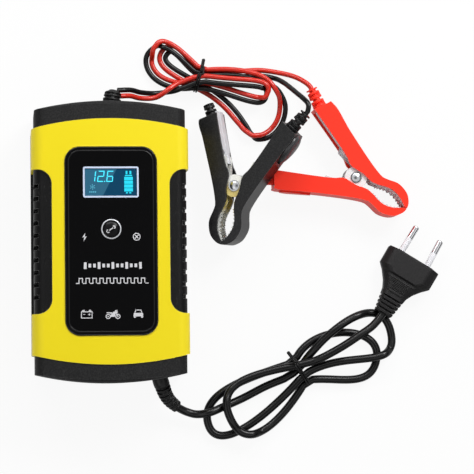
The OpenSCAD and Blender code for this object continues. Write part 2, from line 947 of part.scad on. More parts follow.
module transformer_winding() {
    reach = core_length / 2 - 4.3;
    color(copper)
        translate([core_x, core_y, part_up + core_plate + 0.2])
            linear_extrude(core_height - 2 * core_plate - 0.4)
                difference() {
                    rounded(core_width, 2 * reach, 4);
                    square([core_depth + 0.4, core_leg + 0.4], center = true);
                }
}

module mains_capacitor() {
    radius = mains_cap_diameter / 2;
    color("#26292E")
        translate([-0.667 * board_half, -0.388 * board_length, part_up + radius])
            rotate([-90, 0, 0])
                rotate_extrude() {
                    square([radius, 2]);
                    square([radius - 0.5, 3]);
                    translate([0, 3])
                        square([radius, mains_cap_length - 3]);
                }
}

module output_capacitors() {
    color("#2B2F66")
        for (i = [0:output_cap_count - 1])
            translate([(i - 2) * (output_cap_diameter + 1.5), 0.27 * board_length, part_up])
                rotate_extrude() {
                    square([output_cap_diameter / 2, 1.5]);
                    square([output_cap_diameter / 2 - 0.4, 2.5]);
                    translate([0, 2.5])
                        square([output_cap_diameter / 2, output_cap_height - 2.5]);
                }
}

module heat_sink() {
    color("#B9BDC2")
        translate([sink_x, 0, part_up])
            along_y(sink_length) {
                square([2.5, sink_height]);
                for (i = [0:fin_count - 1])
                    translate([0, 1 + i * (sink_height - 2.5) / (fin_count - 1)])
                        square([fin_length, 1.5]);
            }
}

module power_transistors() {
    color(black)
        for (y = [-0.32, 0.24] * sink_length)
            translate([sink_x - 0.1, y, part_up]) {
                translate([-4.6, -5, 4])
                    cube([4.5, 10, 9]);
                translate([-1.4, -5, 4])
                    cube([1.3, 10, 15.5]);
                for (leg = [-2.54, 0, 2.54])
                    translate([-3, leg - 0.4, 0])
                        cube([0.6, 0.8, 5]);
            }
}

module fuse() {
    color("#D8DCDF")
        translate([4, 11 - board_length / 2, part_up + 2.9])
            rotate([0, 90, 0])
                rotate_extrude() {
                    square([2.6, 5]);
                    square([2.3, 20]);
                    translate([0, 15])
                        square([2.6, 5]);
                }
}

ribbon_pts = through([
    [12, board_up + 0.1], [12, board_up + 6], [16.5, board_up + 17],
    [12, board_up + 27], [12, board_top - board_thickness - 0.1]
], 5);

module ribbon_cable() {
    color("#8A8F98")
        translate([-22, 0, 0])
            rotate([90, 0, 90])
                linear_extrude(14, center = true)
                    polygon([each shifted(ribbon_pts, 0.45), each reversed(shifted(ribbon_pts, -0.45))]);
}

module mains_wires() {
    color("#6B4A2C")
        for (side = [-1, 1])
            tube(through([
                foot(exit_x - 1.3 + 1.3 * side, -10.8, mains_exit_height),
                foot(exit_x - 2.9 + 1.3 * side, -14, mains_exit_height - 1.5),
                foot(exit_x - 5.9 + 1.5 * side, -18.5, mains_exit_height - 6),
                [post_x - 8 + 2 * side, 4 - board_length / 2, board_up + 1.2]
            ], 2), 0.9, 8);
}

module dc_wires() {
    color(red)
        for (side = [-1, 1])
            tube(through([
                head(0.4 + 1.8 * side, -9.7, dc_exit_height),
                head(1 + 1.8 * side, -13.5, dc_exit_height - 1.5),
                head(2.5 + 1.8 * side, -19, dc_exit_height - 8.5),
                [4 + 2 * side, board_length / 2 - 5, board_up + 1.4]
            ], 2), 1.1, 8);
}

module case_screws() {
    color(steel)
        four(boss_x, boss_y)
            difference() {
                union() {
                    translate([0, 0, 1])
                        cylinder(d = screw_head, h = 2.15);
                    translate([0, 0, 3])
                        cylinder(d = screw_diameter, h = 23);
                }
                for (a = [0, 90])
                    rotate([0, 0, a])
                        translate([-1.7, -0.4, 0])
                            cube([3.4, 0.8, 2.2]);
            }
}

// Strain reliefs at the case

// Radii along a relief: flange inside the wall, neck in it, then ribs that taper
function relief_radii(n, flange, neck, neck_from, neck_to, radius, end) = [
    for (i = [0:n - 1])
        let (t = (i - neck_to) / (n - 1 - neck_to), r = radius + (end - radius) * t)
        i < neck_from ? flange : i < neck_to ? neck : (i - neck_to) % 2 == 0 ? r : 0.84 * r
];

module mains_strain_relief() {
    color(black)
        tube(
            mains_relief_path,
            relief_radii(len(mains_relief_path), 5.6, 3.9, 5, 10, mains_relief_diameter / 2, 3.8),
            12
        );
}

module dc_strain_relief() {
    color(black)
        tube(
            dc_relief_path,
            relief_radii(len(dc_relief_path), 6.8, 4.4, 6, 11, dc_relief_diameter / 2, 4.4),
            12
        );
}

// Mains lead and plug

module mains_run() {
    color(black)
        tube(mains_run_route, mains_diameter / 2, 8);
}

module mains_hank() {
    color(black)
        tube(mains_hank_route, mains_diameter / 2, 6);
}

module mains_plug_run() {
    color(black)
        tube(mains_plug_route, mains_diameter / 2, 8);
}

module mains_tie() {
    color(black)
        tie(
            mains_tie_at,
            mains_waist,
            [for (p = mains_passes) strand_at(mains_waist, p)],
            mains_diameter / 2
        );
}

module posed_at(at, angles) {
    translate(at)
        rotate([0, 0, angles[2]])
            rotate([angles[0], 0, 0])
                rotate([0, angles[1], 0])
                    children();
}

module pin_place() {
    lean = asin((pin_spacing - pin_tip_spacing) / 2 / pin_length);
    for (side = [-1, 1])
        translate([side * pin_spacing / 2, 0, 0])
            rotate([-90, 0, side * lean])
                children();
}

module plug_body() {
    side_path = through([[plug_width / 2, -0.416], [14.2, -0.54], [10.2, -0.72], [8, -0.87], [7.1, -1]], 3);
    half_plan = [
        [0, 0],
        [plug_width / 2, 0],
        for (p = side_path) [p[0], p[1] * plug_length],
        [0, -plug_length]
    ];
    half_side = [
        [0, 0],
        [plug_thickness / 2, 0],
        [plug_thickness / 2, -14],
        [5.6, -plug_length],
        [0, -plug_length]
    ];
    color(black)
        posed_at(plug_front, plug_turn)
            difference() {
                union() {
                    intersection() {
                        linear_extrude(plug_thickness, center = true)
                            for (side = [0, 1])
                                mirror([side, 0])
                                    polygon(half_plan);
                        rotate([0, 90, 0])
                            linear_extrude(plug_width, center = true)
                                for (side = [0, 1])
                                    mirror([side, 0])
                                        polygon(half_side);
                        along_y(3 * plug_length)
                            rounded(plug_width, plug_thickness, 5.4);
                    }
                    translate([0, -plug_length + 0.6, 0])
                        rotate([90, 0, 0])
                            ribbed(plug_tail + 0.6, 5.5, 4.9, 4);
                    for (k = [0:4])
                        translate([-8, -6 - 2.2 * k, plug_thickness / 2 - 0.4])
                            cube([16, 1, 0.8]);
                }
                pin_place()
                    translate([0, 0, -9])
                        cylinder(d = pin_diameter - 0.96, h = 10);
            }
}

module plug_pins() {
    core = pin_diameter / 2 - 0.5;
    tip = pin_diameter / 2;
    color(steel)
        posed_at(plug_front, plug_turn)
            pin_place()
                rotate_extrude() {
                    translate([0, -8])
                        square([core, 8 + pin_length - 2]);
                    translate([0, sleeve_length + 0.1])
                        square([tip, pin_length - sleeve_length - 1.1]);
                    translate([0, pin_length - 1.2])
                        square([tip - 1, 1.2]);
                    intersection() {
                        translate([tip - 1, pin_length - 1])
                            circle(1);
                        translate([tip - 1, pin_length - 2])
                            square(2);
                    }
                }
}

module pin_sleeves() {
    color("#F2F2F0")
        posed_at(plug_front, plug_turn)
            pin_place()
                translate([0, 0, 0.05])
                    difference() {
                        cylinder(d = pin_diameter, h = sleeve_length - 0.05);
                        translate([0, 0, -1])
                            cylinder(d = pin_diameter - 0.9, h = sleeve_length + 2);
                    }
}

// DC lead

module dc_run_red() {
    color(red)
        tube(twin(dc_run_route, 1), dc_diameter / 2, 8);
}

module dc_run_black() {
    color(black)
        tube(twin(dc_run_route, -1), dc_diameter / 2, 8);
}

module dc_hank_red() {
    color(red)
        tube(dc_red_hank, dc_diameter / 2, 6);
}

module dc_hank_black() {
    color(black)
        tube(dc_black_hank, dc_diameter / 2, 6);
}

module dc_tie() {
    color(black)
        tie(dc_tie_at, dc_waist, [
            for (p = dc_passes, side = [-1, 1]) strand_at(dc_waist, p) + [side * twin_pitch / 2, 0]
        ], dc_diameter / 2);
}

module red_lead() {
    color(red)
        tube(red_lead_route, dc_diameter / 2, 8);
}

module black_lead() {
    color(black)
        tube(black_lead_route, dc_diameter / 2, 8);
}

// Clamps, built with the rivet at the origin and along Z, the jaws towards -Y and the cord side at +X

function grip_sized(pts, extra) = [
    for (p = pts)
        p[1] > 30 ? p + extra * handle_axis : p[1] < -6 ? [p[0], p[1] * jaw_length / 37] : p
];
function rim(extra) = through(grip_sized(grip_outer, extra), 3);

module grip(length) {
    extra = length - 50;
    outer = rim(extra);
    inner = through(grip_sized(grip_inner, extra), 3);
    inset = shifted(outer, -grip_wall);
    end = [26.6, 41.6] + extra * handle_axis;
    difference() {
        linear_extrude(clamp_thickness, center = true)
            polygon([each outer, each inner]);
        linear_extrude(2 * grip_inside, center = true)
            difference() {
                polygon([inset[0] + 30 * handle_axis, each inset, [-30, last(inset)[1]], [-30, 80]]);
                translate(end)
                    rotate(-handle_angle)
                        translate([-40, -2])
                            square([80, 80]);
            }
        translate([end[0], end[1], 0])
            rotate([-90, 0, -handle_angle])
                cylinder(d = 6, h = 6, center = true);
    }
}

module thumb_pad() {
    translate([28, 28.6, 0])
        rotate([90, 0, 63.4])
            translate([0, 0, -0.8])
                linear_extrude(1.8) {
                    translate([3, 0])
                        circle(5.5);
                    translate([-9, 0])
                        circle(2.2);
                    polygon([[1.49, -5.29], [1.49, 5.29], [-9.6, 2.12], [-9.6, -2.12]]);
                }
}

module rim_band(outer, low, high, depth) {
    near = shifted(outer, -depth);
    far = shifted(outer, -depth - jaw_sheet);
    polygon([
        for (i = [0:len(outer) - 1]) if (outer[i][1] > low && outer[i][1] < high) near[i],
        for (i = [len(outer) - 1:-1:0]) if (outer[i][1] > low && outer[i][1] < high) far[i]
    ]);
}

module jaw(out) {
    scale_y = jaw_length / 37;
    outer = rim(0);
    depth = grip_wall + 0.25;
    edge = through([
        [1.3, -34 * scale_y], [2.8, -31 * scale_y], [4.5, -26.7 * scale_y],
        [4.9, -21 * scale_y], [3.9, -17 * scale_y], [2.9, -14 * scale_y]
    ], 4);
    plate = [
        for (p = shifted(outer, -depth)) if (p[1] < 21 && p[0] > 1.6) p,
        [0.35, -34.7 * scale_y],
        for (i = [0:len(edge) - 1]) edge[i] - [i % 2 == 0 ? 0 : tooth, 0],
        [2, -10],
        [5, -5],
        [6, 5],
        [8.8, 16.5]
    ];
    color(steel)
        difference() {
            union() {
                for (z = [-out, out - jaw_sheet])
                    translate([0, 0, z])
                        linear_extrude(jaw_sheet) {
                            polygon(plate);
                            circle(ear_radius);
                        }
                linear_extrude(2 * out, center = true) {
                    rim_band(outer, -33.5 * scale_y, -12.5, depth);
                    rim_band(outer, 5, 21, depth);
                }
            }
            cylinder(d = rivet_diameter + 2 * rivet_gap, h = 30, center = true);
        }
}

module rivet() {
    color(steel) {
        cylinder(d = rivet_diameter, h = 2 * cord_jaw_out + 1, center = true);
        for (side = [0, 1])
            mirror([0, 0, side])
                translate([0, 0, cord_jaw_out + 0.05])
                    rotate_extrude() {
                        square([rivet_head / 2, 0.5]);
                        intersection() {
                            translate([0, 1.1 - 6])
                                circle(6);
                            square([rivet_head / 2, 2]);
                        }
                    }
    }
}

spring_sweep = 360 * spring_coils - 246;
spring_rise = spring_wire + 0.5;
spring_steps = ceil(spring_sweep / 45);
spring_route = let (
    low = -spring_sweep / 360 * spring_rise / 2,
    start = [spring_radius * cos(213), spring_radius * sin(213), low],
    stop = [spring_radius * cos(-33), spring_radius * sin(-33), -low]
) [
    start + 17 * turn(123),
    start + 8 * turn(123),
    for (i = [0:spring_steps])
        let (a = 213 + spring_sweep * i / spring_steps)
        [spring_radius * cos(a), spring_radius * sin(a), low - 2 * low * i / spring_steps],
    stop + 8 * turn(57),
    stop + 17 * turn(57)
];
echo("Clamp spring: least gap", own_gap(halved(spring_route), 10) - spring_wire);

module spring() {
    color("#9FA3A8")
        tube(spring_route, spring_wire / 2, 6);
}

module cord_relief() {
    translate(handle_end)
        rotate([-90, 0, -handle_angle]) {
            translate([0, 0, -3])
                cylinder(d = 5.6, h = 4);
            translate([0, 0, 0.1])
                ribbed(relief_length, relief_diameter / 2, relief_diameter / 2 - 1.2, 5);
        }
}

module free_stub(length) {
    end = [26.6, 41.6] + (length - 50) * handle_axis;
    mirror([1, 0, 0])
        translate([end[0], end[1], 0])
            rotate([-90, 0, -handle_angle]) {
                translate([0, 0, -3])
                    cylinder(d = 5.6, h = 4);
                translate([0, 0, 0.1])
                    ribbed(8, relief_diameter / 2, relief_diameter / 2 - 0.8, 4);
            }
}

module red_place() {
    posed_at(red_pivot, red_turn)
        children();
}

module black_place() {
    posed_at(black_pivot, black_turn)
        children();
}

module red_cord_grip() {
    color(red)
        red_place() {
            grip(cord_grip_length);
            thumb_pad();
        }
}

module red_free_grip() {
    color(red)
        red_place()
            mirror([1, 0, 0]) {
                grip(red_free_length);
                thumb_pad();
            }
}

module red_cord_jaw() {
    red_place()
        jaw(cord_jaw_out);
}

module red_free_jaw() {
    red_place()
        mirror([1, 0, 0])
            jaw(free_jaw_out);
}

module red_rivet() {
    red_place()
        rivet();
}

module red_spring() {
    red_place()
        spring();
}

module red_relief() {
    color(red)
        red_place()
            cord_relief();
}

module red_stub() {
    color(red)
        red_place()
            free_stub(red_free_length);
}

module black_cord_grip() {
    color(black)
        black_place() {
            grip(cord_grip_length);
            thumb_pad();
        }
}

module black_free_grip() {
    color(black)
        black_place()
            mirror([1, 0, 0]) {
                grip(black_free_length);
                thumb_pad();
            }
}

module black_cord_jaw() {
    black_place()
        jaw(cord_jaw_out);
}

module black_free_jaw() {
    black_place()
        mirror([1, 0, 0])
            jaw(free_jaw_out);
}

module black_rivet() {
    black_place()
        rivet();
}

module black_spring() {
    black_place()
        spring();
}

module black_relief() {
    color(black)
        black_place()
            cord_relief();
}

module black_stub() {
    color(black)
        black_place()
            free_stub(black_free_length);
}

front_cover();
rear_cover();
top_cap();
bottom_cap();
left_grille();
right_grille();
face_panel();
lcd_frame();
lcd_cell();
lcd_backlight();
button_ring();
repair_button();
display_board();
tact_switch();
main_board();
transformer_core();
transformer_winding();
mains_capacitor();
output_capacitors();
heat_sink();
power_transistors();
fuse();
ribbon_cable();
mains_wires();
dc_wires();
case_screws();
mains_strain_relief();
dc_strain_relief();
mains_run();
mains_hank();
mains_plug_run();
mains_tie();
plug_body();
plug_pins();
pin_sleeves();
dc_run_red();
dc_run_black();
dc_hank_red();
dc_hank_black();
dc_tie();
red_lead();
black_lead();
red_cord_grip();
red_free_grip();
red_cord_jaw();
red_free_jaw();
red_rivet();
red_spring();
red_relief();
red_stub();
black_cord_grip();
black_free_grip();
black_cord_jaw();
black_free_jaw();
black_rivet();
black_spring();
black_relief();
black_stub();
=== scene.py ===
# %% [markdown]
# # Car battery charger with clamps and mains plug
# The solids come from CAD as a fixed frame. This lesson dresses them: it lays the cords, moulds the
# soft sleeves, prints the face, gives every piece a finish, and sets the studio around it all.
# Lengths are worked out in millimetres, as in the CAD, and multiplied by MM where Blender needs metres.

# %% Load the frame and note its box
import bmesh
import bpy
from collections import namedtuple
from math import ceil, cos, floor, pi, radians, sin, sqrt, tan
from mathutils import Matrix, Vector


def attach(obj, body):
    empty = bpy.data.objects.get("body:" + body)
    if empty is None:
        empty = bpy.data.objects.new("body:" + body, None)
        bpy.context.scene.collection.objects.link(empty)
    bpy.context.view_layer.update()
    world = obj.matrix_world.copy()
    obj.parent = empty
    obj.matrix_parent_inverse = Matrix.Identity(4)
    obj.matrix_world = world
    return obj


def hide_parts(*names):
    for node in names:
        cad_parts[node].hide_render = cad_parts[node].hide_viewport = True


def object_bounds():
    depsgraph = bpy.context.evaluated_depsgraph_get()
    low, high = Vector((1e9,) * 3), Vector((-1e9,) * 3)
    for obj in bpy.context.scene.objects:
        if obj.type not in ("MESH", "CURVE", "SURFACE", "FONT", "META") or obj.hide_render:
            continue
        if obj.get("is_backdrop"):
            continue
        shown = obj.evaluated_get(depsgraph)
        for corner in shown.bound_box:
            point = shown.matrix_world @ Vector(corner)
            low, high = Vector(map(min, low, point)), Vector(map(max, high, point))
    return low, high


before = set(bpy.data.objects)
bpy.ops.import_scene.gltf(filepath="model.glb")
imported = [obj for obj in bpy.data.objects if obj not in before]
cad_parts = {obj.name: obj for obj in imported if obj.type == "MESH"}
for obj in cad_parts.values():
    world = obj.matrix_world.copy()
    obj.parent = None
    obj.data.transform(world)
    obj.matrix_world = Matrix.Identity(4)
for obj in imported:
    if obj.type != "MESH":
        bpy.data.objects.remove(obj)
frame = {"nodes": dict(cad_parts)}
cad_box = [[float(c) for c in corner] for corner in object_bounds()]
MM = 0.001
print("CAD nodes:", len(frame["nodes"]), "box in mm:", [round((b - a) / MM, 1) for a, b in zip(*cad_box)])

# %% [markdown]
# ## The camera
# The camera looks at the middle of the whole object, but it stands almost above the lower left corner
# of the case, 1.4 m up, with a long lens. So the case shows its face from straight above, its walls
# edge on, and the clamps and the plug are seen a little from the side. The camera could be aimed by a
# constraint, but here its three axes are written out, so that nothing moves it afterwards.

# %% Camera
LOOK_AT, CAMERA_DISTANCE = Vector((78.171, 3.591, 25)), 1400
LEAN_SIDEWAYS, LEAN_LENGTHWAYS, CAMERA_ROLL = -5.852, -3.838, -0.68
SENSOR_WIDTH, FOCAL_LENGTH_PIXELS, RENDER_PIXELS, NEAREST_SEEN = 36, 2284.8, 474, 0.05

back = Vector((tan(radians(LEAN_SIDEWAYS)), tan(radians(LEAN_LENGTHWAYS)), 1)).normalized()
level_right = (-back).cross(Vector((0, 1, 0))).normalized()
level_up = level_right.cross(-back)
roll = radians(CAMERA_ROLL)
right = cos(roll) * level_right + sin(roll) * level_up
up = cos(roll) * level_up - sin(roll) * level_right
spot = LOOK_AT * MM + CAMERA_DISTANCE * MM * back

lens = bpy.data.cameras.new("camera")
lens.sensor_width = SENSOR_WIDTH
lens.lens = SENSOR_WIDTH * FOCAL_LENGTH_PIXELS / RENDER_PIXELS
lens.clip_start = NEAREST_SEEN
camera = bpy.data.objects.new("camera", lens)
bpy.context.collection.objects.link(camera)
camera.matrix_world = Matrix((
    (right.x, up.x, back.x, spot.x),
    (right.y, up.y, back.y, spot.y),
    (right.z, up.z, back.z, spot.z),
    (0, 0, 0, 1),
))
bpy.context.scene.camera = camera
print("camera at", [round(c, 3) for c in spot], "lens", round(lens.lens, 1), "mm")

# %% [markdown]
# ## Curves that the cords follow
# A cord is one smooth line. Between the ends it passes given points, and a Catmull-Rom
# curve joins them without corners. In the tied bundles the line runs out of the tie, round a loop
# and back into it, which two cubic Bezier curves describe. These are the formulas of the CAD source,
# sampled more finely.

# %% Helpers for lines
UPWARDS = Vector((0, 0, 1))


def turn(angle):
    """Level direction at an angle in degrees from the x axis."""
    return Vector((cos(radians(angle)), sin(radians(angle)), 0))


def through(points, steps):
    """Catmull-Rom curve through points, with so many steps between each pair."""
    pts = [Vector(p) for p in points]
    line = []
    for i in range(len(pts) - 1):
        a, b, c = pts[max(i - 1, 0)], pts[i], pts[i + 1]
        d = pts[min(i + 2, len(pts) - 1)]
        for k in range(steps):
            t = k / steps
            line.append(0.5 * (2 * b + (c - a) * t + (2 * a - 5 * b + 4 * c - d) * t * t
                               + (3 * b - a - 3 * c + d) * t ** 3))
    return line + [pts[-1]]


def bezier(a, b, c, d, t):
    return (1 - t) ** 3 * a + 3 * (1 - t) ** 2 * t * b + 3 * (1 - t) * t * t * c + t ** 3 * d


def eased(values, t):
    """Value at t from 0 to 1 along evenly spaced values, level at each of them."""
    s = t * (len(values) - 1)
    i = min(floor(s), len(values) - 2)
    f = s - i
    g = f * f * (3 - 2 * f)
    return values[i] * (1 - g) + values[i + 1] * g


def tangents(line):
    last = len(line) - 1
    return [(line[min(i + 1, last)] - line[max(i - 1, 0)]).normalized() for i in range(last + 1)]


def length_of(line):
    return sum((b - a).length for a, b in zip(line, line[1:]))


print("a quarter circle of radius 10 mm measures",
      round(length_of([10 * turn(3 * k) for k in range(31)]), 2), "mm")

# %% [markdown]
# ## Tied bundles
# Each pass through a tie is a lane: its offset across the tie, its height, and its heading before
# and after the tie. Each loop has the reach and the direction of its tip, a tilt there, and the
# strength of its four handles, with the heights on its way. The twin lead also rolls, so that one
# strand can climb over the other: its rolls, in degrees, are spread evenly along the loop.

# %% Lanes, loops and cord sizes
Lane = namedtuple("Lane", "offset height before after")
LOOP_FIELDS = "reach direction tilt leaving to_tip from_tip arriving heights rolls"
Loop = namedtuple("Loop", LOOP_FIELDS, defaults=((0, 0),))

MAINS_DIAMETER, DC_DIAMETER, TWIN_PITCH = 5, 3.2, 3.65
TIE_HALF = 4
SIDE_BEFORE, SIDE_AFTER = -1, 1
print("mains cord", MAINS_DIAMETER, "mm, DC leads", DC_DIAMETER, "mm each, side by side at", TWIN_PITCH, "mm")

# %% [markdown]
# A loop leaves the tie with its first lane's heading and comes back against its second one's. Two
# Bezier curves meet at its tip, where the cord runs across the loop's direction, and the height goes
# gently from each given value to the next.

# %% One loop of a bundle
def slot_at(tie, waist, lane):
    return tie + lane.offset * turn(waist + 90) + Vector((0, 0, lane.height))


def heading(lane, side):
    return turn(lane.after) if side == SIDE_AFTER else -turn(lane.before)


def lobe(tie, waist, start_lane, end_lane, side, loop, rings):
    """Line of one loop, from the tie and back to it, with the roll of the twin lead."""
    leave, arrive = heading(start_lane, side), heading(end_lane, side)
    start = slot_at(tie, waist, start_lane) + TIE_HALF * leave
    stop = slot_at(tie, waist, end_lane) + TIE_HALF * arrive
    tip = tie + loop.reach * turn(loop.direction)
    across = turn(loop.direction - 90 + loop.tilt)
    heights = [start_lane.height] + loop.heights + [end_lane.height]
    line = []
    for i in range(rings + 1):
        t = i / rings
        if t < 0.5:
            p = bezier(start, start + loop.leaving * leave, tip - loop.to_tip * across, tip, 2 * t)
        else:
            p = bezier(tip, tip + loop.from_tip * across, stop + loop.arriving * arrive, stop, 2 * t - 1)
        line.append((Vector((p.x, p.y, eased(heights, t))), eased(loop.rolls, t)))
    return line


print("a lane heads straight for", 2 * TIE_HALF, "mm through its tie")

# %% [markdown]
# A bundle's route is a row of points, each with its roll. It goes straight through the tie in its
# first lane, round the first loop, back in the second lane, and so on, so that it is one cord from
# end to end and nowhere meets itself.

# %% Whole bundle
def bundle(tie, waist, lanes, loops, lead, rings):
    """The whole route through a tie, as points and rolls, with a straight lead on both ends."""

    def straight(lane, side, beyond):
        return slot_at(tie, waist, lane) + (TIE_HALF + beyond) * heading(lane, side), 0

    last_side = SIDE_AFTER if len(loops) % 2 == 0 else SIDE_BEFORE
    route = [straight(lanes[0], SIDE_BEFORE, lead), straight(lanes[0], SIDE_BEFORE, 0)]
    for i, loop in enumerate(loops):
        side = SIDE_AFTER if i % 2 == 0 else SIDE_BEFORE
        route += lobe(tie, waist, lanes[i], lanes[i + 1], side, loop, rings)
    return route + [straight(lanes[-1], last_side, 0), straight(lanes[-1], last_side, lead)]


unlooped = bundle(Vector(), 0, [Lane(0, 3, 0, 0)], [], 5, 8)
print("a bundle with no loops is a straight row of", len(unlooped), "points")

# %% [markdown]
# The runs between a bundle and the things at its ends start and stop straight, so that no kink shows
# where they meet. The twin lead's two strands come from one centre line: each lies half a pitch to
# one side, turned about it by the roll, and a rolled strand rises so that neither sinks in the table.

# %% Runs and strands
END_STRAIGHT = 2
CLOSEST_POINTS = 0.02


def joined(a, a_way, points, b, b_way, steps):
    """Route from one end to another, straight at both; each way points away from its end."""
    line = through([a, a + END_STRAIGHT * a_way] + [Vector(p) for p in points]
                   + [b + END_STRAIGHT * b_way, b], steps)
    return [a] + line[steps:len(line) - steps] + [b]


def strand_of(route, side):
    """One lead of the twin cord beside its centre line, turned about it by each point's roll."""
    strand = []
    for (p, roll), way in zip(route, tangents([p for p, roll in route])):
        left = UPWARDS.cross(way).normalized()
        over = way.cross(left)
        r = radians(roll)
        strand.append(p + side * TWIN_PITCH / 2 * (cos(r) * left + sin(r) * over)
                      + Vector((0, 0, abs(sin(r)) * TWIN_PITCH / 2)))
    return strand


def without_repeats(line):
    return [p for i, p in enumerate(line) if i == 0 or (p - line[i - 1]).length > CLOSEST_POINTS]


print("a run is straight for", END_STRAIGHT, "mm at either end")

# %% [markdown]
# ## The mains lead
# It leaves the foot of the case through a strain relief, runs to a tie, makes four loops there and
# ends in the plug. A flexible round cord of this kind bends no tighter than its sheath allows, so
# the loops are wide and lie on one another a diameter apart.

# %% Ends of the mains lead
PLUG_FRONT, PLUG_LENGTH, PLUG_TAIL = Vector((190.9, -10, 7.15)), 28.6, 10.6
PLUG_PITCH, PLUG_HEADING = -3, -31.5
mains_relief_line = through([
    (29.3, -75, 20), (29.9, -78.5, 20), (30.4, -82, 20), (31.4, -87, 19.2), (33.6, -92.2, 16),
    (36.6, -96, 12.6), (40.6, -99.2, 9.6),
], 4)
mains_relief_way = (mains_relief_line[-1] - mains_relief_line[-2]).normalized()

plug_spin = Matrix.Rotation(radians(PLUG_HEADING), 4, "Z") @ Matrix.Rotation(radians(PLUG_PITCH), 4, "X")
plug_way = plug_spin @ Vector((0, 1, 0))
plug_end = PLUG_FRONT - (PLUG_LENGTH + PLUG_TAIL) * plug_way
print("mains lead from", [round(c, 1) for c in mains_relief_line[-1]], "to", [round(c, 1) for c in plug_end])

# %% [markdown]
# The tie stands to the right of the case's foot, and its waist points 35 degrees away from the x axis.
# Five lanes pass through it, with four loops between them. The heights keep the crossings apart: the
# lowest strand lies on the table with its middle half a diameter up, and each one over it clears it.

# %% Mains lead
MAINS_TIE, MAINS_WAIST, MAINS_LEAD_IN, MAINS_RINGS = Vector((119, -79, 0)), 35, 5, 72
MAINS_LANES = [
    Lane(1.4, 3, 30, 56), Lane(-2.6, 6.4, 48, 29), Lane(7, 3, 18, 60), Lane(-6.4, 3, 58, 4),
    Lane(4.6, 9.1, 10, 14),
]
MAINS_LOOPS = [
    Loop(62, 22, -12, 30, 28, 24, 28, [7.3, 9.2, 7.5, 3.2, 2.6, 2.6, 3.5, 8.1, 8.3, 8, 7]),
    Loop(66, 209, -12, 30, 20, 20, 28, [4, 2.6, 2.6, 2.6, 2.6, 2.6, 2.6]),
    Loop(49, 10, -18, 24, 20, 20, 18, [2.6, 2.6, 2.6, 2.6, 2.6, 2.6]),
    Loop(53, 212, -8, 30, 24, 22, 28, [2.6, 2.6, 3.6, 8.1, 8.6, 11.3, 11.3, 9.8, 9.2, 9.1, 9.1]),
]
TO_MAINS_TIE = [
    (47.6, -103, 6.6), (54, -104.6, 6.5), (62, -103.5, 8.2), (71, -100, 5.6), (83, -95, 2.8), (97, -88, 2.6),
]
TO_PLUG = [(134, -69.5, 11), (145, -63.5, 12), (156, -56.5, 11.6), (163.6, -51.3, 10.4)]
RUN_STEPS = 8

mains_route = bundle(MAINS_TIE, MAINS_WAIST, MAINS_LANES, MAINS_LOOPS, MAINS_LEAD_IN, MAINS_RINGS)
mains_loops_line = [p for p, roll in mains_route]
mains_to_tie = joined(mains_relief_line[-1], mains_relief_way, TO_MAINS_TIE,
                      mains_loops_line[0], -turn(MAINS_LANES[0].before), RUN_STEPS)
mains_to_plug = joined(mains_loops_line[-1], turn(MAINS_LANES[-1].after), TO_PLUG,
                       plug_end, -plug_way, RUN_STEPS)
mains_line = without_repeats(mains_to_tie + mains_loops_line[1:] + mains_to_plug[1:])
print("mains lead", round(length_of(mains_line)), "mm in", len(mains_line), "points")

# %% [markdown]
# ## The twin DC lead
# Two single leads, red and black, lie side by side like one flat cord. They leave the head of the
# case, make four loops in their own tie, and part: each ends in the strain relief of its clamp. So
# the clamps' places come first. Each clamp has a pivot and a spin, and is drawn in its own plane with
# the jaws towards the foot and the handles spread by 33 degrees to either side. The black clamp's
# free grip is shorter than the red one's, and its steel arms lie flush with the grips.

# %% Places of the clamps
HANDLE_ANGLE, SLEEVE_FOOT, SLEEVE_REACH = 33, Vector((26.6, 41.6, 0)), 12.15
HANDLE_WAY = Vector((sin(radians(HANDLE_ANGLE)), cos(radians(HANDLE_ANGLE)), 0))
Clamp = namedtuple("Clamp", "colour pivot spin free_length arm_recess")


def spin_of(about_x, about_y, about_z):
    return (Matrix.Rotation(radians(about_z), 3, "Z") @ Matrix.Rotation(radians(about_x), 3, "X")
            @ Matrix.Rotation(radians(about_y), 3, "Y"))


def clamp_point(clamp, x, y, z=0.0):
    """A point of a clamp's own plane, in the frame of the whole part."""
    return clamp.pivot + clamp.spin @ Vector((x, y, z))


def lead_end(clamp):
    """Where a clamp's sleeve lets its lead out, and the way that it points there."""
    return clamp.pivot + clamp.spin @ (SLEEVE_FOOT + SLEEVE_REACH * HANDLE_WAY), clamp.spin @ HANDLE_WAY


RED_CLAMP = Clamp("red", Vector((154, 41, 8.5)), spin_of(0, 0, 57.8), 52, 2.0)
BLACK_CLAMP = Clamp("black", Vector((79.5, 35.5, 17.2)), spin_of(6.7, -22, -12), 47, 0.0)
CLAMPS = (RED_CLAMP, BLACK_CLAMP)
for clamp in CLAMPS:
    print(clamp.colour, "lead ends at", [round(c, 1) for c in lead_end(clamp)[0]])

# %% [markdown]
# The twin lead leaves the case with its red strand to the foot, which is a roll of 180 degrees, and
# it turns level again on its way to the tie. Between the tie's lanes the rolls let the two strands
# change places where the loops cross.

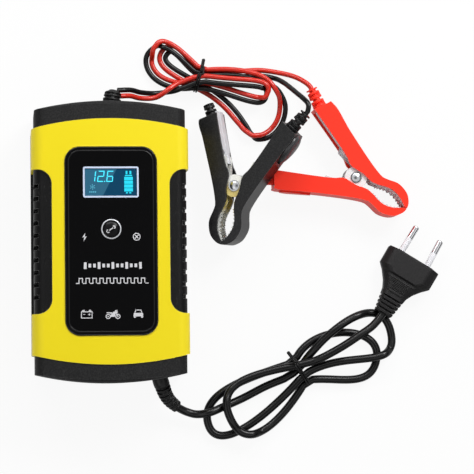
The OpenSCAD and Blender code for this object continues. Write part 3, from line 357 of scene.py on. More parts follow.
# %% Twin lead to and through its tie
DC_TIE, DC_WAIST, DC_LEAD_IN, DC_RINGS = Vector((57.5, 103.8, 0)), -15, 8, 60
DC_LANES = [
    Lane(0, 9.8, 22, -8), Lane(-3.7, 6, 8, -10), Lane(3.7, 6, -44, 4), Lane(-3.7, 2, -30, -27),
    Lane(3.7, 2, -42, 2),
]
DC_LOOPS = [
    Loop(43.2, -13.5, 0, 26, 9, 9, 22, [10, 10, 7, 6, 6], [0, 0, 30, 90, 150, 180, 180]),
    Loop(34, 152, 4, 16, 12, 14, 16, [4, 2, 2, 4, 6, 6], [180, 180, 180, 180, 90, 0, 0, 0]),
    Loop(52, -44.5, -45.5, 65, 18, 9, 26, [6.1, 5.8, 4.6, 3.4, 2.4, 2, 1.8, 1.8, 1.8, 1.8, 1.8],
         [0, 30, 120, 180, 170, 130, 70, 30, 0, 0, 0]),
    Loop(27, 141, 0, 12, 9, 9, 12, [2, 2, 2, 2]),
]
INSIDE_DOME, OUT_OF_DOME = 2.4, 3
dc_relief_line = through([
    (0.4, 76, 25), (0.5, 81, 25), (0.6, 86, 25), (1.7, 89.6, 24.8), (4.5, 92, 24), (8.4, 92.6, 22.4),
], 5)
dc_relief_way = (dc_relief_line[-1] - dc_relief_line[-2]).normalized()
dc_loops_route = bundle(DC_TIE, DC_WAIST, DC_LANES, DC_LOOPS, DC_LEAD_IN, DC_RINGS)
loops_start = dc_loops_route[0][0]

# each point of the run is a place and the roll of the two leads there
run_points = [
    (dc_relief_line[-1] - INSIDE_DOME * dc_relief_way, 180), (dc_relief_line[-1], 180),
    (dc_relief_line[-1] + OUT_OF_DOME * dc_relief_way, 180), ((14.8, 93, 19), 180), ((21, 92.2, 14), 176),
    ((30, 92.8, 9.2), 140), ((39.2, 96.1, 8.8), 60),
    (loops_start - END_STRAIGHT * turn(DC_LANES[0].before), 0),
]
run_places = through([place for place, roll in run_points], RUN_STEPS)
run_rolls = [v.x for v in through([(roll, 0, 0) for place, roll in run_points], RUN_STEPS)]
run_route = list(zip(run_places, run_rolls)) + [(loops_start, 0)]
print("twin run of", round(length_of(run_places)), "mm, then", len(DC_LOOPS), "loops")

# %% [markdown]
# After the tie the strands part. The red one stays on the table to its clamp, which lies flat. The
# black one climbs to the raised handle of the clamp that stands on the red one.

# %% Single leads to the clamps
RED_SIDE, BLACK_SIDE, INSIDE_SLEEVE = 1, -1, (2, 4)
RED_WAY = [(84, 109.3, 1.8), (97, 109.7, 1.8), (110, 107.8, 2), (118, 105.2, 4.6), (123.8, 101.6, 7.4)]
BLACK_WAY = [
    (84, 105.8, 1.8), (97, 106.1, 1.8), (105, 104.4, 4), (109.6, 101.2, 10), (113, 97, 17.5),
    (116.4, 92.2, 25.8), (119.6, 87.8, 32.8), (121.9, 84, 36.1),
]


def dc_line(side, points, clamp):
    """Centre line of one lead, which ends inside the sleeve of its clamp."""
    loops = strand_of(dc_loops_route, side)
    end, way = lead_end(clamp)
    lead = joined(loops[-1], turn(DC_LANES[-1].after), points, end, way, RUN_STEPS)
    inside = [end - depth * way for depth in INSIDE_SLEEVE]
    return without_repeats(strand_of(run_route, side)[:-1] + loops + lead[1:] + inside)


red_line, black_line = dc_line(RED_SIDE, RED_WAY, RED_CLAMP), dc_line(BLACK_SIDE, BLACK_WAY, BLACK_CLAMP)
print("red lead", round(length_of(red_line)), "mm, black lead", round(length_of(black_line)), "mm")

# %% [markdown]
# ## From lines to cords
# A curve object with a round bevel is the simplest true tube: it keeps its own centre line, so its
# length can be measured, and it can be made thicker later. Blender counts each point's radius into
# the curve's box, so the bevel is one metre deep and the points' small radii scale it down: then the
# box is true. Each cord takes the place of the plainer CAD tubes along the same line.

# %% Cords
WHOLE_BEVEL, BEVEL_STEPS = 1.0, 5


def round_cord(name, line, diameter, nodes):
    """A round tube along a line, on the charger's body, in place of the CAD nodes of that cord."""
    curve = bpy.data.curves.new(name, "CURVE")
    curve.dimensions = "3D"
    curve.bevel_depth = WHOLE_BEVEL
    curve.bevel_resolution = BEVEL_STEPS
    curve.use_fill_caps = True
    curve.twist_mode = "MINIMUM"
    spline = curve.splines.new("POLY")
    spline.points.add(len(line) - 1)
    for point, place in zip(spline.points, line):
        point.co = (*(place * MM), 1)
        point.radius = diameter / 2 * MM
    spline.use_smooth = True
    piece = bpy.data.objects.new(name, curve)
    bpy.context.collection.objects.link(piece)
    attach(piece, "charger")
    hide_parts(*nodes)
    return piece


mains_cord = round_cord("mains_cord", mains_line, MAINS_DIAMETER,
                        ("mains_run", "mains_hank", "mains_plug_run"))
red_cord = round_cord("red_dc_cord", red_line, DC_DIAMETER,
                      ("dc_run_red", "dc_hank_red", "red_lead"))
black_cord = round_cord("black_dc_cord", black_line, DC_DIAMETER,
                        ("dc_run_black", "dc_hank_black", "black_lead"))
print("cords laid:", ", ".join(c.name for c in (mains_cord, red_cord, black_cord)))

# %% [markdown]
# ## Pieces made as meshes
# Small mouldings are swept or lofted: a ring of points is placed again and again along a line, its
# size changing on the way, and neighbouring rings are joined by faces. Flat print and plates are an
# outline raised by a hair. A few helpers cover both, and each result is one closed mesh.

# %% Helper for a mesh piece
DETAILS = []


def mesh_piece(name, points, faces, body, slot, nodes=(), smooth=True, look=None):
    """A closed mesh from points in millimetres, which rides on a body and may replace CAD nodes.

    It takes its finish from its slot later on, or from the one that look names."""
    mesh = bpy.data.meshes.new(name)
    mesh.from_pydata([tuple(p * MM) for p in points], [], faces)
    made = bmesh.new()
    made.from_mesh(mesh)
    bmesh.ops.recalc_face_normals(made, faces=made.faces)
    made.to_mesh(mesh)
    made.free()
    for face in mesh.polygons:
        face.use_smooth = smooth
    piece = bpy.data.objects.new(name, mesh)
    bpy.context.collection.objects.link(piece)
    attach(piece, body)
    if nodes:
        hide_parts(*nodes)
    DETAILS.append((piece, look or slot))
    return piece


def names_of(last):
    """Names of the pieces made last, for a cell's printed line."""
    return ", ".join(piece.name for piece, look in DETAILS[-last:])


print("mesh pieces so far:", len(DETAILS))

# %% [markdown]
# A tube is a row of rings. Each pair of neighbours is joined by faces of four corners, and one flat
# face closes either end, so that the mesh has no opening.

# %% Faces between rings
def ring_faces(ring, following, sides):
    """Faces between two rings of points, given by the places of their first points."""
    pairs = [(k, (k + 1) % sides) for k in range(sides)]
    return [(ring + k, ring + after, following + after, following + k) for k, after in pairs]


def grid_faces(rings, sides):
    """Faces of a row of rings, with a flat cap on either end."""
    faces = [face for r in range(rings - 1) for face in ring_faces(r * sides, (r + 1) * sides, sides)]
    return faces + [tuple(range(sides))[::-1], tuple((rings - 1) * sides + k for k in range(sides))]


print("a tube of 3 rings with 8 sides has", len(grid_faces(3, 8)), "faces")

# %% [markdown]
# A ring needs to know what lies across the line. Two directions are carried along from point to
# point and only straightened against the way on, so that a tube never twists, however it bends.

# %% Rings along a line
def frames(line):
    """At each point of a line, the way on and two directions across it that don't twist."""
    ways = tangents(line)
    side = UPWARDS.cross(ways[0]).normalized()
    found = []
    for way in ways:
        side = (side - side.dot(way) * way).normalized()
        found.append((way, side, way.cross(side)))
    return found


def swept(line, radius_at, sides):
    """Rings along a line; radius_at takes the way along it in millimetres and the angle in degrees."""
    points, travelled, before = [], 0.0, line[0]
    for p, (way, side, over) in zip(line, frames(line)):
        travelled += (p - before).length
        before = p
        for k in range(sides):
            angle = 360 * k / sides
            r = radius_at(travelled, angle)
            points.append(p + r * (cos(radians(angle)) * side + sin(radians(angle)) * over))
    return points, grid_faces(len(line), sides)


rod = swept([Vector((0, k, 0)) for k in range(3)], lambda s, angle: 1, 8)
print("a rod of 3 rings with 8 sides has", len(rod[0]), "points")

# %% [markdown]
# Ribs and grooves need rings at even distances, whatever the spacing of the line's own points, and
# they need edges with a slope, because a mould has no sharp ones.

# %% Even steps and soft edges
def resampled(line, step):
    """The same line with points a fixed way apart."""
    out, need = [line[0]], step
    for a, b in zip(line, line[1:]):
        gap = (b - a).length
        while gap >= need:
            a = a + (b - a) * (need / gap)
            out.append(a)
            gap -= need
            need = step
        need -= gap
    return out


def step_up(x, edge, soft):
    """0 below an edge and 1 above it, with a slope of the width soft between them."""
    t = min(max((x - edge) / soft + 0.5, 0.0), 1.0)
    return t * t * (3 - 2 * t)


print("soft edge, a quarter of its slope past the middle:", round(step_up(0.25, 0, 1), 2))

# %% [markdown]
# ## Strain reliefs
# A sleeve that bends with its cord is moulded as ribs with windows between them: rings on a thin
# core, tied to their neighbours by a bridge on two sides, the bridges turned a quarter from gap to
# gap. The radius is therefore a rule of the way along the sleeve and of the angle around it. Within
# one pitch the rib takes the first 56%, is a little round on top, and the groove takes the rest.

# %% Rule for ribbed sleeves
GROOVE_STARTS, START_SLOPE, GROOVE_ENDS, END_SLOPE = 0.56, 0.14, 0.97, 0.1
RIB_ROUNDING, TAIL_SHARE, BRIDGE_EDGE, BRIDGE_SLOPE = 0.035, 0.97, 0.7, 0.5
CROWN_SPREAD, CROWN_LEFT = 1.12, 0.02


def ribbed_radius(start, length, ribs, first, last, core, bridge=34, crown=0.0):
    """Radius rule for ribs between two places, after a plain collar before them.

    The ribs taper from the first radius to the last, core is the share left in a groove, bridge is
    half a bridge's angle, and crown is the length over which the end closes like a dome."""
    pitch = length / ribs

    def rule(s, angle):
        u = s - start
        if u < 0:
            return first
        outer = first + (last - first) * min(u / length, 1.0)
        if crown:
            past = max((u - length + crown) / (crown * CROWN_SPREAD), 0)
            outer = min(outer, first * sqrt(max(1 - past ** 2, CROWN_LEFT)))
        if u > length:
            return outer * TAIL_SHARE
        i = min(int(u / pitch), ribs - 1)
        f = u / pitch - i
        groove = step_up(f, GROOVE_STARTS, START_SLOPE) * (1 - step_up(f, GROOVE_ENDS, END_SLOPE))
        off = abs((angle - (90 if i % 2 else 0) + 90) % 180 - 90)
        groove *= 1 if off > bridge else step_up(off, bridge * BRIDGE_EDGE, bridge * BRIDGE_SLOPE)
        round_rib = 1 - RIB_ROUNDING * (2 * min(f / GROOVE_STARTS, 1.0) - 1) ** 2
        return outer * round_rib * (1 - groove) + core * outer * groove

    return rule


print("a rib of 4 mm radius is", round(ribbed_radius(0, 8, 4, 4, 4, 0.7)(0.5, 0), 2), "mm high at its middle")

# %% [markdown]
# The mains sleeve bends with its lead, so it is swept along the lead's own line. The DC lead leaves
# its sleeve sideways, so that sleeve is a straight bell: a flange inside the cap, a neck through its
# wall, four ribs and a rounded top.

# %% Sleeves on the case
MAINS_COLLAR, MAINS_UNRIBBED, SLEEVE_STEP = 6.4, 7.6, 0.22
MAINS_SLEEVE_STEPS, MAINS_SLEEVE_SIDES = 24, 40
mains_sleeve = resampled(through([
    mains_relief_line[5], mains_relief_line[9], (31.8, -86.6, 19.2), (33.9, -91.8, 16), (36.7, -95.8, 12.6),
    (40.4, -98.9, 9.7), (41.6, -99.7, 9),
], MAINS_SLEEVE_STEPS), SLEEVE_STEP)
mains_ribs = ribbed_radius(start=MAINS_COLLAR, length=length_of(mains_sleeve) - MAINS_UNRIBBED, ribs=8,
                           first=4.9, last=3.9, core=0.72)
points, faces = swept(mains_sleeve, mains_ribs, MAINS_SLEEVE_SIDES)
mesh_piece("mains_sleeve", points, faces, "charger", "relief_black", ("mains_strain_relief",))

DOME_RINGS, DOME_SIDES, DOME_FLANGE, DOME_NECK = 93, 44, 6.8, 4.45
DOME_WALL_STARTS, DOME_RIBS_START = 5, 9.6
DOME_FOOT, DOME_STEP = (0.5, 76, 25), (0.03, 0.2, -0.004)
dome_line = [Vector([a + step * k for a, step in zip(DOME_FOOT, DOME_STEP)]) for k in range(DOME_RINGS)]
dome_ribs = ribbed_radius(start=DOME_RIBS_START, length=8.6, ribs=4, first=5.9, last=5.0, core=0.84,
                          bridge=20, crown=4.2)


def dome_radius(s, angle):
    """A flange inside the cap, a neck through its wall, then a ribbed bell with a rounded top."""
    if s < DOME_WALL_STARTS:
        return DOME_FLANGE
    return DOME_NECK if s < DOME_RIBS_START else dome_ribs(s, angle)


points, faces = swept(dome_line, dome_radius, DOME_SIDES)
mesh_piece("dc_sleeve", points, faces, "charger", "relief_black", ("dc_strain_relief",))
print("sleeves on the case:", names_of(2))

# %% [markdown]
# Each grip of a clamp ends in such a sleeve. The one with the lead is the longer, with four ribs. The
# free grip ends in a blind one with three, which gives both grips the same look.

# %% Sleeves on the grips
GRIP_NECK, GRIP_NECK_LENGTH, GRIP_STEP, GRIP_SIDES = 2.8, 3.1, 0.15, 36
INSIDE_GRIP, FULL_GRIP_LENGTH = 3, 50
CORD_RINGS, FREE_RINGS = 104, 74
cord_ribs = ribbed_radius(start=GRIP_NECK_LENGTH, length=11.6, ribs=4, first=4.35, last=3.7, core=0.6,
                          bridge=26)
free_ribs = ribbed_radius(start=GRIP_NECK_LENGTH, length=7.6, ribs=3, first=3.9, last=3.4, core=0.62,
                          bridge=26)


def grip_sleeve(name, foot, way, rings, ribs, body, slot, node):
    """A ribbed sleeve at the end of a grip, which starts with a thinner neck inside the grip."""
    line = [foot + (GRIP_STEP * k - INSIDE_GRIP) * way for k in range(rings)]

    def radius(s, angle):
        return GRIP_NECK if s < GRIP_NECK_LENGTH else ribs(s, angle)

    points, faces = swept(line, radius, GRIP_SIDES)
    mesh_piece(name, points, faces, body, slot, (node,))


for clamp in CLAMPS:
    colour, slot = clamp.colour, "clamp_" + clamp.colour
    cord_way, free_way = (clamp.spin @ Vector((x * HANDLE_WAY.x, HANDLE_WAY.y, 0)) for x in (1, -1))
    cord_foot, free_foot = (clamp_point(clamp, x * SLEEVE_FOOT.x, SLEEVE_FOOT.y) for x in (1, -1))
    free_foot += (clamp.free_length - FULL_GRIP_LENGTH) * free_way
    grip_sleeve(colour + "_sleeve", cord_foot, cord_way, CORD_RINGS, cord_ribs,
                "charger", slot, colour + "_relief")
    grip_sleeve(colour + "_plug_sleeve", free_foot, free_way, FREE_RINGS, free_ribs,
                colour + "_free_half", slot, colour + "_stub")
print("sleeves on the grips:", names_of(4))

# %% [markdown]
# ## The clamp springs
# A torsion spring sits around each rivet, one leg in either grip. When the handles are squeezed, one
# leg goes with the free grip and the turns wind up. Here that leg is a piece of its own: it rides on
# the free half and slides inside the first turn of the coil, as far as the hinge lets it. Its arc is
# a tenth of a millimetre thinner than the coil, so that the two surfaces never flicker.

# %% Coil and free leg
SPRING_RADIUS, SPRING_WIRE, SPRING_PITCH = 3.6, 0.6, 1.7
SPRING_FIRST, SPRING_SWEEP, DEGREES_PER_RING = 213, 1194, 8
CORD_LEG_ANGLE, FREE_LEG_ANGLE, LEG_LENGTH = 57, 123, 17
LEG_POINTS = (1, 4, 8, 12, LEG_LENGTH)
FREE_LEG_ARC, COIL_STARTS_AT, ARC_THINNER, WIRE_SIDES = 60, 15, 0.1, 14
THINNER_FROM = LEG_LENGTH - 0.5


def helix(a0, a1):
    """Points of the spring's turns between two angles past its first one."""
    low = -SPRING_SWEEP / 360 * SPRING_PITCH / 2
    steps = ceil((a1 - a0) / DEGREES_PER_RING)
    points = []
    for k in range(steps + 1):
        a = a0 + (a1 - a0) * k / steps
        around = radians(SPRING_FIRST + a)
        height = low + a / 360 * SPRING_PITCH
        points.append(Vector((SPRING_RADIUS * cos(around), SPRING_RADIUS * sin(around), height)))
    return points


def coil_wire(s, angle):
    return SPRING_WIRE


def leg_wire(s, angle):
    return SPRING_WIRE if s < THINNER_FROM else SPRING_WIRE - ARC_THINNER


turns, arc = helix(COIL_STARTS_AT, SPRING_SWEEP), helix(0, FREE_LEG_ARC)
coil = turns + [turns[-1] + d * turn(CORD_LEG_ANGLE) for d in LEG_POINTS]
leg = [arc[0] + d * turn(FREE_LEG_ANGLE) for d in reversed(LEG_POINTS)] + arc
for clamp in CLAMPS:
    colour = clamp.colour
    points, faces = swept([clamp.pivot + clamp.spin @ p for p in coil], coil_wire, WIRE_SIDES)
    mesh_piece(colour + "_spring_coil", points, faces, "charger", "spring_steel", (colour + "_spring",))
    points, faces = swept([clamp.pivot + clamp.spin @ p for p in leg], leg_wire, WIRE_SIDES)
    mesh_piece(colour + "_spring_leg", points, faces, colour + "_free_half", "spring_steel")
print("springs of", round(SPRING_SWEEP / 360, 2), "turns with a free leg each")

# %% [markdown]
# ## The ties
# Each bundle is held by a twist of coated wire. It is a thin round strand that goes twice around the
# outline of the bundle, with its two ends twisted together for a few turns on one side. The outline
# is the convex hull of circles around the cords, as a tight wire would lie.

# %% Outline of a bundle
CIRCLE_POINTS = 24


def hull_outline(dots, margin):
    """Convex outline around flat dots, kept a margin away from them."""
    angles = [2 * pi * k / CIRCLE_POINTS for k in range(CIRCLE_POINTS)]
    ring = sorted({(x + margin * cos(a), y + margin * sin(a)) for x, y in dots for a in angles})

    def turns_right(a, b, c):
        return (b[0] - a[0]) * (c[1] - a[1]) - (b[1] - a[1]) * (c[0] - a[0]) <= 0

    def half(row):
        chain = []
        for p in row:
            while len(chain) > 1 and turns_right(chain[-2], chain[-1], p):
                chain.pop()
            chain.append(p)
        return chain

    return half(ring)[:-1] + half(ring[::-1])[:-1]


print("outline around two dots has", len(hull_outline([(0, 0), (5, 0)], 2)), "points")

# %% [markdown]
# The wire starts high on the outline, on the side towards which its twisted ends will point. Its
# height is held just at the ground, so that no turn dips into the table under the lowest cord. The
# two ends are helices around one axis, half a turn apart, and each grows out of its end of the wire.

# %% Wire of a tie
TIE_TURNS, TURN_PITCH, BELOW_GROUND, WIRE_GAP, WIRE_STEP, TIE_SIDES = 2, 2.3, 0.15, 0.1, 0.35, 10
TAIL_POINTS, TAIL_FIRST, TAIL_POINT_STEP, TAIL_STEP, DEGREES_PER_POINT = 29, 0.4, 0.28, 0.3, 62
SIDEWAYS_WEIGHT, TAIL_OUT, TAIL_ACROSS, STRANDS_APART, POINTS_TO_GROW = 0.4, 0.45, 0.9, 0.95, 4


def twisted_tie(name, tie, waist, dots, cord_radius, wire, node):
    """A coated wire of one radius around a bundle, whose cords are dots of across and up."""
    across, along = turn(waist + 90), turn(waist)
    outline = hull_outline(dots, cord_radius + wire + WIRE_GAP)
    top = max(range(len(outline)), key=lambda k: outline[k][1] + SIDEWAYS_WEIGHT * outline[k][0])
    outline = outline[top:] + outline[:top]
    n = len(outline)
    line = []
    for k in range(TIE_TURNS * n + 1):
        x, z = outline[k % n]
        height = Vector((0, 0, max(z, wire - BELOW_GROUND)))
        line.append(tie + (x * across + height) + (TURN_PITCH * wire * (k / n - TIE_TURNS / 2)) * along)
    line = resampled(line, WIRE_STEP)
    middle_height = sum(height for x, height in dots) / len(dots)
    outwards = (line[0] - tie - Vector((0, 0, middle_height))).normalized()
    strands = [swept(line, lambda s, angle: wire, TIE_SIDES)]
    for root, half_turn in ((line[0], 0), (line[-1], 180)):
        tail = []
        for k in range(TAIL_POINTS):
            reach = (TAIL_FIRST + TAIL_POINT_STEP * k) * (TAIL_OUT * outwards + TAIL_ACROSS * across)
            angle = radians(half_turn + DEGREES_PER_POINT * k)
            apart = wire * STRANDS_APART * (cos(angle) * along + sin(angle) * UPWARDS)
            twist = (line[0] + line[-1]) / 2 + reach + apart
            grown = min(k / POINTS_TO_GROW, 1.0)
            tail.append(root * (1 - grown) + twist * grown)
        strands.append(swept(resampled(tail, TAIL_STEP), lambda s, angle: wire, TIE_SIDES))
    points, faces = [], []
    for more_points, more_faces in strands:
        faces += [tuple(i + len(points) for i in face) for face in more_faces]
        points += more_points
    mesh_piece(name, points, faces, "charger", "tie_black", (node,))


print("a tie goes", TIE_TURNS, "times around its bundle")

# %% [markdown]
# A tie finds its cords by the lanes: one dot for each pass of the mains lead, and two dots side by
# side for each pass of the twin lead.

# %% Ties on both bundles
MAINS_TIE_WIRE, DC_TIE_WIRE = 0.62, 0.6
mains_dots = [(lane.offset, lane.height) for lane in MAINS_LANES]
dc_dots = [(lane.offset + side * TWIN_PITCH / 2, lane.height) for lane in DC_LANES for side in (-1, 1)]
twisted_tie("mains_twist_tie", MAINS_TIE, MAINS_WAIST, mains_dots, MAINS_DIAMETER / 2,
            MAINS_TIE_WIRE, "mains_tie")
twisted_tie("dc_twist_tie", DC_TIE, DC_WAIST, dc_dots, DC_DIAMETER / 2, DC_TIE_WIRE, "dc_tie")
print("ties around", len(mains_dots), "and", len(dc_dots), "cord sections")

# %% [markdown]
# ## The face: bead and lip
# The panel is a gloss plate that follows the crown of the cover, an arc of 560 mm radius. A fine
# bead runs around it near its edge, another rounds the edge itself, and the cover has a thin raised
# lip around its recess. All three are a small round section carried around a rounded rectangle.

# %% Helpers for a bead on the crown
CASE_TOP, CROWN, PANEL_RISE = 50, 560, 0.5
PANEL_WIDTH, PANEL_LENGTH, PANEL_CORNER = 55.2, 113, 9
CORNER_STEPS, LONGEST_CUT, BEAD_SIDES = 14, 3, 10


def crown_height(x, raised=0.0):
    return CASE_TOP - CROWN + sqrt((CROWN + raised) ** 2 - x * x)


def rounded_outline(width, length, corner):
    """Outline of a rounded rectangle with straight sides cut into short pieces."""
    outline = []
    for cx, cy, start in ((1, 1, 0), (-1, 1, 90), (-1, -1, 180), (1, -1, 270)):
        x, y = cx * (width / 2 - corner), cy * (length / 2 - corner)
        angles = [radians(start + 90 * k / CORNER_STEPS) for k in range(CORNER_STEPS + 1)]
        outline += [(x + corner * cos(a), y + corner * sin(a)) for a in angles]
    dense = []
    for (ax, ay), (bx, by) in zip(outline, outline[1:] + outline[:1]):
        cuts = max(int(sqrt((bx - ax) ** 2 + (by - ay) ** 2) / LONGEST_CUT), 1)
        dense += [(ax + (bx - ax) * k / cuts, ay + (by - ay) * k / cuts) for k in range(cuts)]
    return dense


def bead_around(name, outline, raised, radius, sunk, slot):
    """A closed round bead that follows an outline on the crown."""
    line = [Vector((x, y, crown_height(x, raised) - sunk)) for x, y in outline]
    n, points, faces = len(line), [], []
    angles = [2 * pi * k / BEAD_SIDES for k in range(BEAD_SIDES)]
    for i in range(n):
        way = (line[(i + 1) % n] - line[i - 1]).normalized()
        out = way.cross(UPWARDS).normalized()
        over = out.cross(way)
        points += [line[i] + radius * (cos(a) * out + sin(a) * over) for a in angles]
        faces += ring_faces(i * BEAD_SIDES, (i + 1) % n * BEAD_SIDES, BEAD_SIDES)
    mesh_piece(name, points, faces, "charger", slot)


print("the crown falls by", round(CASE_TOP - crown_height(PANEL_WIDTH / 2), 2), "mm to the panel's sides")

# %% [markdown]
# The three lines differ only in how far out they run, in their radius and in how deep they sit in
# the surface. They are made as pieces of their own, so that each keeps the finish of its surface.

# %% Beads and lip around the panel
# name, growth past the panel's size, height over the crown, radius, depth in the surface, slot
for name, grown, raised, radius, sunk, slot in (
    ("panel_bead", -4.4, PANEL_RISE, 0.42, 0.2, "panel_gloss"),
    ("panel_edge_bead", -0.7, PANEL_RISE, 0.3, 0.22, "panel_gloss"),
    ("cover_recess_lip", 1.1, 0.0, 0.32, 0.14, "yellow_plastic"),
):
    outline = rounded_outline(PANEL_WIDTH + grown, PANEL_LENGTH + grown, PANEL_CORNER + grown / 2)
    bead_around(name, outline, raised, radius, sunk, slot)
print("lines around the panel:", names_of(3))

# %% [markdown]
# ## Printed signs
# The marks on the panel are screen print, a film of ink some hundredths of a millimetre thick. They
# are plain signs: a bolt, a stop sign, a level scale, a train of pulses, a battery, a motorcycle and a
# car. Each sign is a few flat outlines about its own middle, built from blocks, strokes, discs and
# bands, and moved to its place.

# %% Helpers for print
INK, INK_DEPTH = 0.03, 0.05


def printed(name, shapes, surface, look, slot="frame_pale", body="charger", ink=INK):
    """Closed thin plates from flat outlines; surface gives the height under each x and y."""
    points, faces = [], []
    for shape in shapes:
        base, n = len(points), len(shape)
        points += [Vector((x, y, surface(x, y) + ink)) for x, y in shape]
        points += [Vector((x, y, surface(x, y) - INK_DEPTH)) for x, y in shape]
        faces += [tuple(base + k for k in range(n)), tuple(base + n + k for k in range(n))[::-1]]
        faces += [(base + k, base + n + k, base + n + (k + 1) % n, base + (k + 1) % n) for k in range(n)]
    mesh_piece(name, points, faces, body, slot, smooth=False, look=look)


def on_panel(x, y):
    return crown_height(x, PANEL_RISE)


def moved(shapes, dx, dy, size=1.0):
    return [[(x * size + dx, y * size + dy) for x, y in shape] for shape in shapes]


def block(x0, y0, x1, y1):
    return [(x0, y0), (x1, y0), (x1, y1), (x0, y1)]


def disc(x, y, r, steps=20):
    return [(x + r * cos(2 * pi * k / steps), y + r * sin(2 * pi * k / steps)) for k in range(steps)]


def stroke(a, b, width):
    """A straight stroke between two points."""
    (ax, ay), (bx, by) = a, b
    length = sqrt((bx - ax) ** 2 + (by - ay) ** 2)
    nx, ny = -(by - ay) / length * width / 2, (bx - ax) / length * width / 2
    return [(ax - nx, ay - ny), (bx - nx, by - ny), (bx + nx, by + ny), (ax + nx, ay + ny)]


def band(outer, inner, start=0, end=360, steps=28):
    """A ring, or a part of one, cut into quads."""
    quads = []
    for k in range(steps):
        a, b = (radians(start + (end - start) * (k + j) / steps) for j in (0, 1))
        quads.append([(inner * cos(a), inner * sin(a)), (outer * cos(a), outer * sin(a)),
                      (outer * cos(b), outer * sin(b)), (inner * cos(b), inner * sin(b))])
    return quads


print("a whole band is cut into", len(band(2, 1)), "quads")

# %% [markdown]
# The bolt and the stop sign stand on either side of the button. Below it a scale shows how full the
# battery is, with every third bar long, and a train of square pulses stands for the way it charges.

# %% Signs beside the button, scale and pulses
bolt = [
    [(0.5, 2.5), (-1.3, -0.35), (-0.15, -0.1)],
    [(-0.5, -2.5), (1.3, 0.35), (0.15, 0.1)],
    [(-0.15, -0.1), (0.5, 2.5), (0.15, 0.1), (-0.5, -2.5)],
]
stop = band(2.3, 1.8) + [stroke((-1.0, -1.0), (1.0, 1.0), 0.55), stroke((-1.0, 1.0), (1.0, -1.0), 0.55)]

SCALE_BARS, SCALE_PITCH, LONG_EVERY = 13, 2.75, 3
scale_marks = []
for k in range(SCALE_BARS):
    top, foot = (2, -2) if k % LONG_EVERY == 0 else (1.1, -1.1)
    scale_marks.append(block(-16.5 + SCALE_PITCH * k, foot, -14.9 + SCALE_PITCH * k, top))

PULSES, PULSE_PITCH = 10, 4.4
pulses = []
for k in range(PULSES):
    x = -22 + PULSE_PITCH * k
    pulses += [block(x, -1.9, x + 2.2, -1.3), block(x + 1.65, -1.3, x + 2.2, 1.3),
               block(x + 1.65, 1.3, x + 4.4, 1.9), block(x + 3.85, -1.3, x + 4.4, 1.3)]
pulses.append(block(22, -1.9, 24.2, -1.3))
print("outlines of scale and pulses:", len(scale_marks), "and", len(pulses))

# %% [markdown]
# The foot of the panel says what the charger is for: a battery, in a motorcycle or in a car. The
# battery is a frame with two posts, a minus and a plus. All signs are then placed and printed as one.

# %% Battery, motorcycle and car
battery_frame = [
    block(-3.4, -2.4, 3.4, -1.9), block(-3.4, 1.3, 3.4, 1.8), block(-3.4, -1.9, -2.9, 1.3),
    block(2.9, -1.9, 3.4, 1.3),
]
battery_posts = [block(-2.6, 1.8, -1.2, 2.6), block(1.2, 1.8, 2.6, 2.6)]
minus_and_plus = [block(-2.2, -0.2, -0.8, 0.2), block(0.8, -0.2, 2.2, 0.2), block(1.3, -0.7, 1.7, 0.7)]
battery_sign = battery_frame + battery_posts + minus_and_plus
tyre = band(1.45, 0.95, steps=20)
motorcycle = moved(tyre, -2.7, -1.3) + moved(tyre, 2.8, -1.3) + [
    disc(-2.7, -1.3, 0.4, 10), disc(2.8, -1.3, 0.4, 10), [(-1.7, -1.5), (1.1, -1.5), (1.5, 0.2), (-0.9, 0.2)],
    [(-3.6, 0.6), (-0.4, 0.2), (-0.4, 1.0), (-3.6, 1.1)], [(-0.4, 0.2), (1.7, 0.2), (1.5, 1.5), (0.2, 1.4)],
    stroke((2.8, -1.3), (1.4, 1.9), 0.5), stroke((1.1, 1.9), (2.5, 2.2), 0.45), disc(2.2, 1.2, 0.55, 12),
]
car_sign = [
    [(-3.0, -1.7), (3.0, -1.7), (3.0, 0.1), (2.5, 0.5), (-2.5, 0.5), (-3.0, 0.1)],
    [(-2.5, 0.5), (-1.9, 0.5), (-1.5, 2.0), (-1.8, 2.5)], [(1.9, 0.5), (2.5, 0.5), (1.8, 2.5), (1.5, 2.0)],
    [(-1.8, 2.5), (-1.5, 2.0), (1.5, 2.0), (1.8, 2.5)],
    block(-2.9, -2.6, -1.8, -1.7), block(1.8, -2.6, 2.9, -1.7),
]
panel_signs = (
    moved(bolt, -16, 2.4) + moved(stop, 15.2, 2.4) + moved(scale_marks, 0, -14.8)
    + moved(pulses, -0.6, -23.9, 0.94) + moved(battery_sign, -15, -43.9, 1.0)
    + moved(motorcycle, 0.6, -43.9, 1.05) + moved(car_sign, 15.8, -43.7, 0.95)
)
printed("panel_marks", panel_signs, on_panel, "ink_white")
print(len(panel_signs), "printed outlines,", INK, "mm thick")

# %% [markdown]
# ## The display
# Behind the glass a lit cell shows a voltage in seven-segment figures, a battery that fills up and a
# frost sign for cold weather. Each segment is a thin plate of its own on the glass, with a material
# that gives light. Figures like these are generic.

# %% Seven segments
GLASS_TOP, SEGMENT_GAP, FIGURE_SLANT = 50.0, 0.1, 0.12
FIGURE_HEIGHT, FIGURE_WIDTH, FIGURE_LINE = 6.7, 3.9, 0.6
SEGMENTS = {"1": "bc", "2": "abged", "6": "afgedc"}


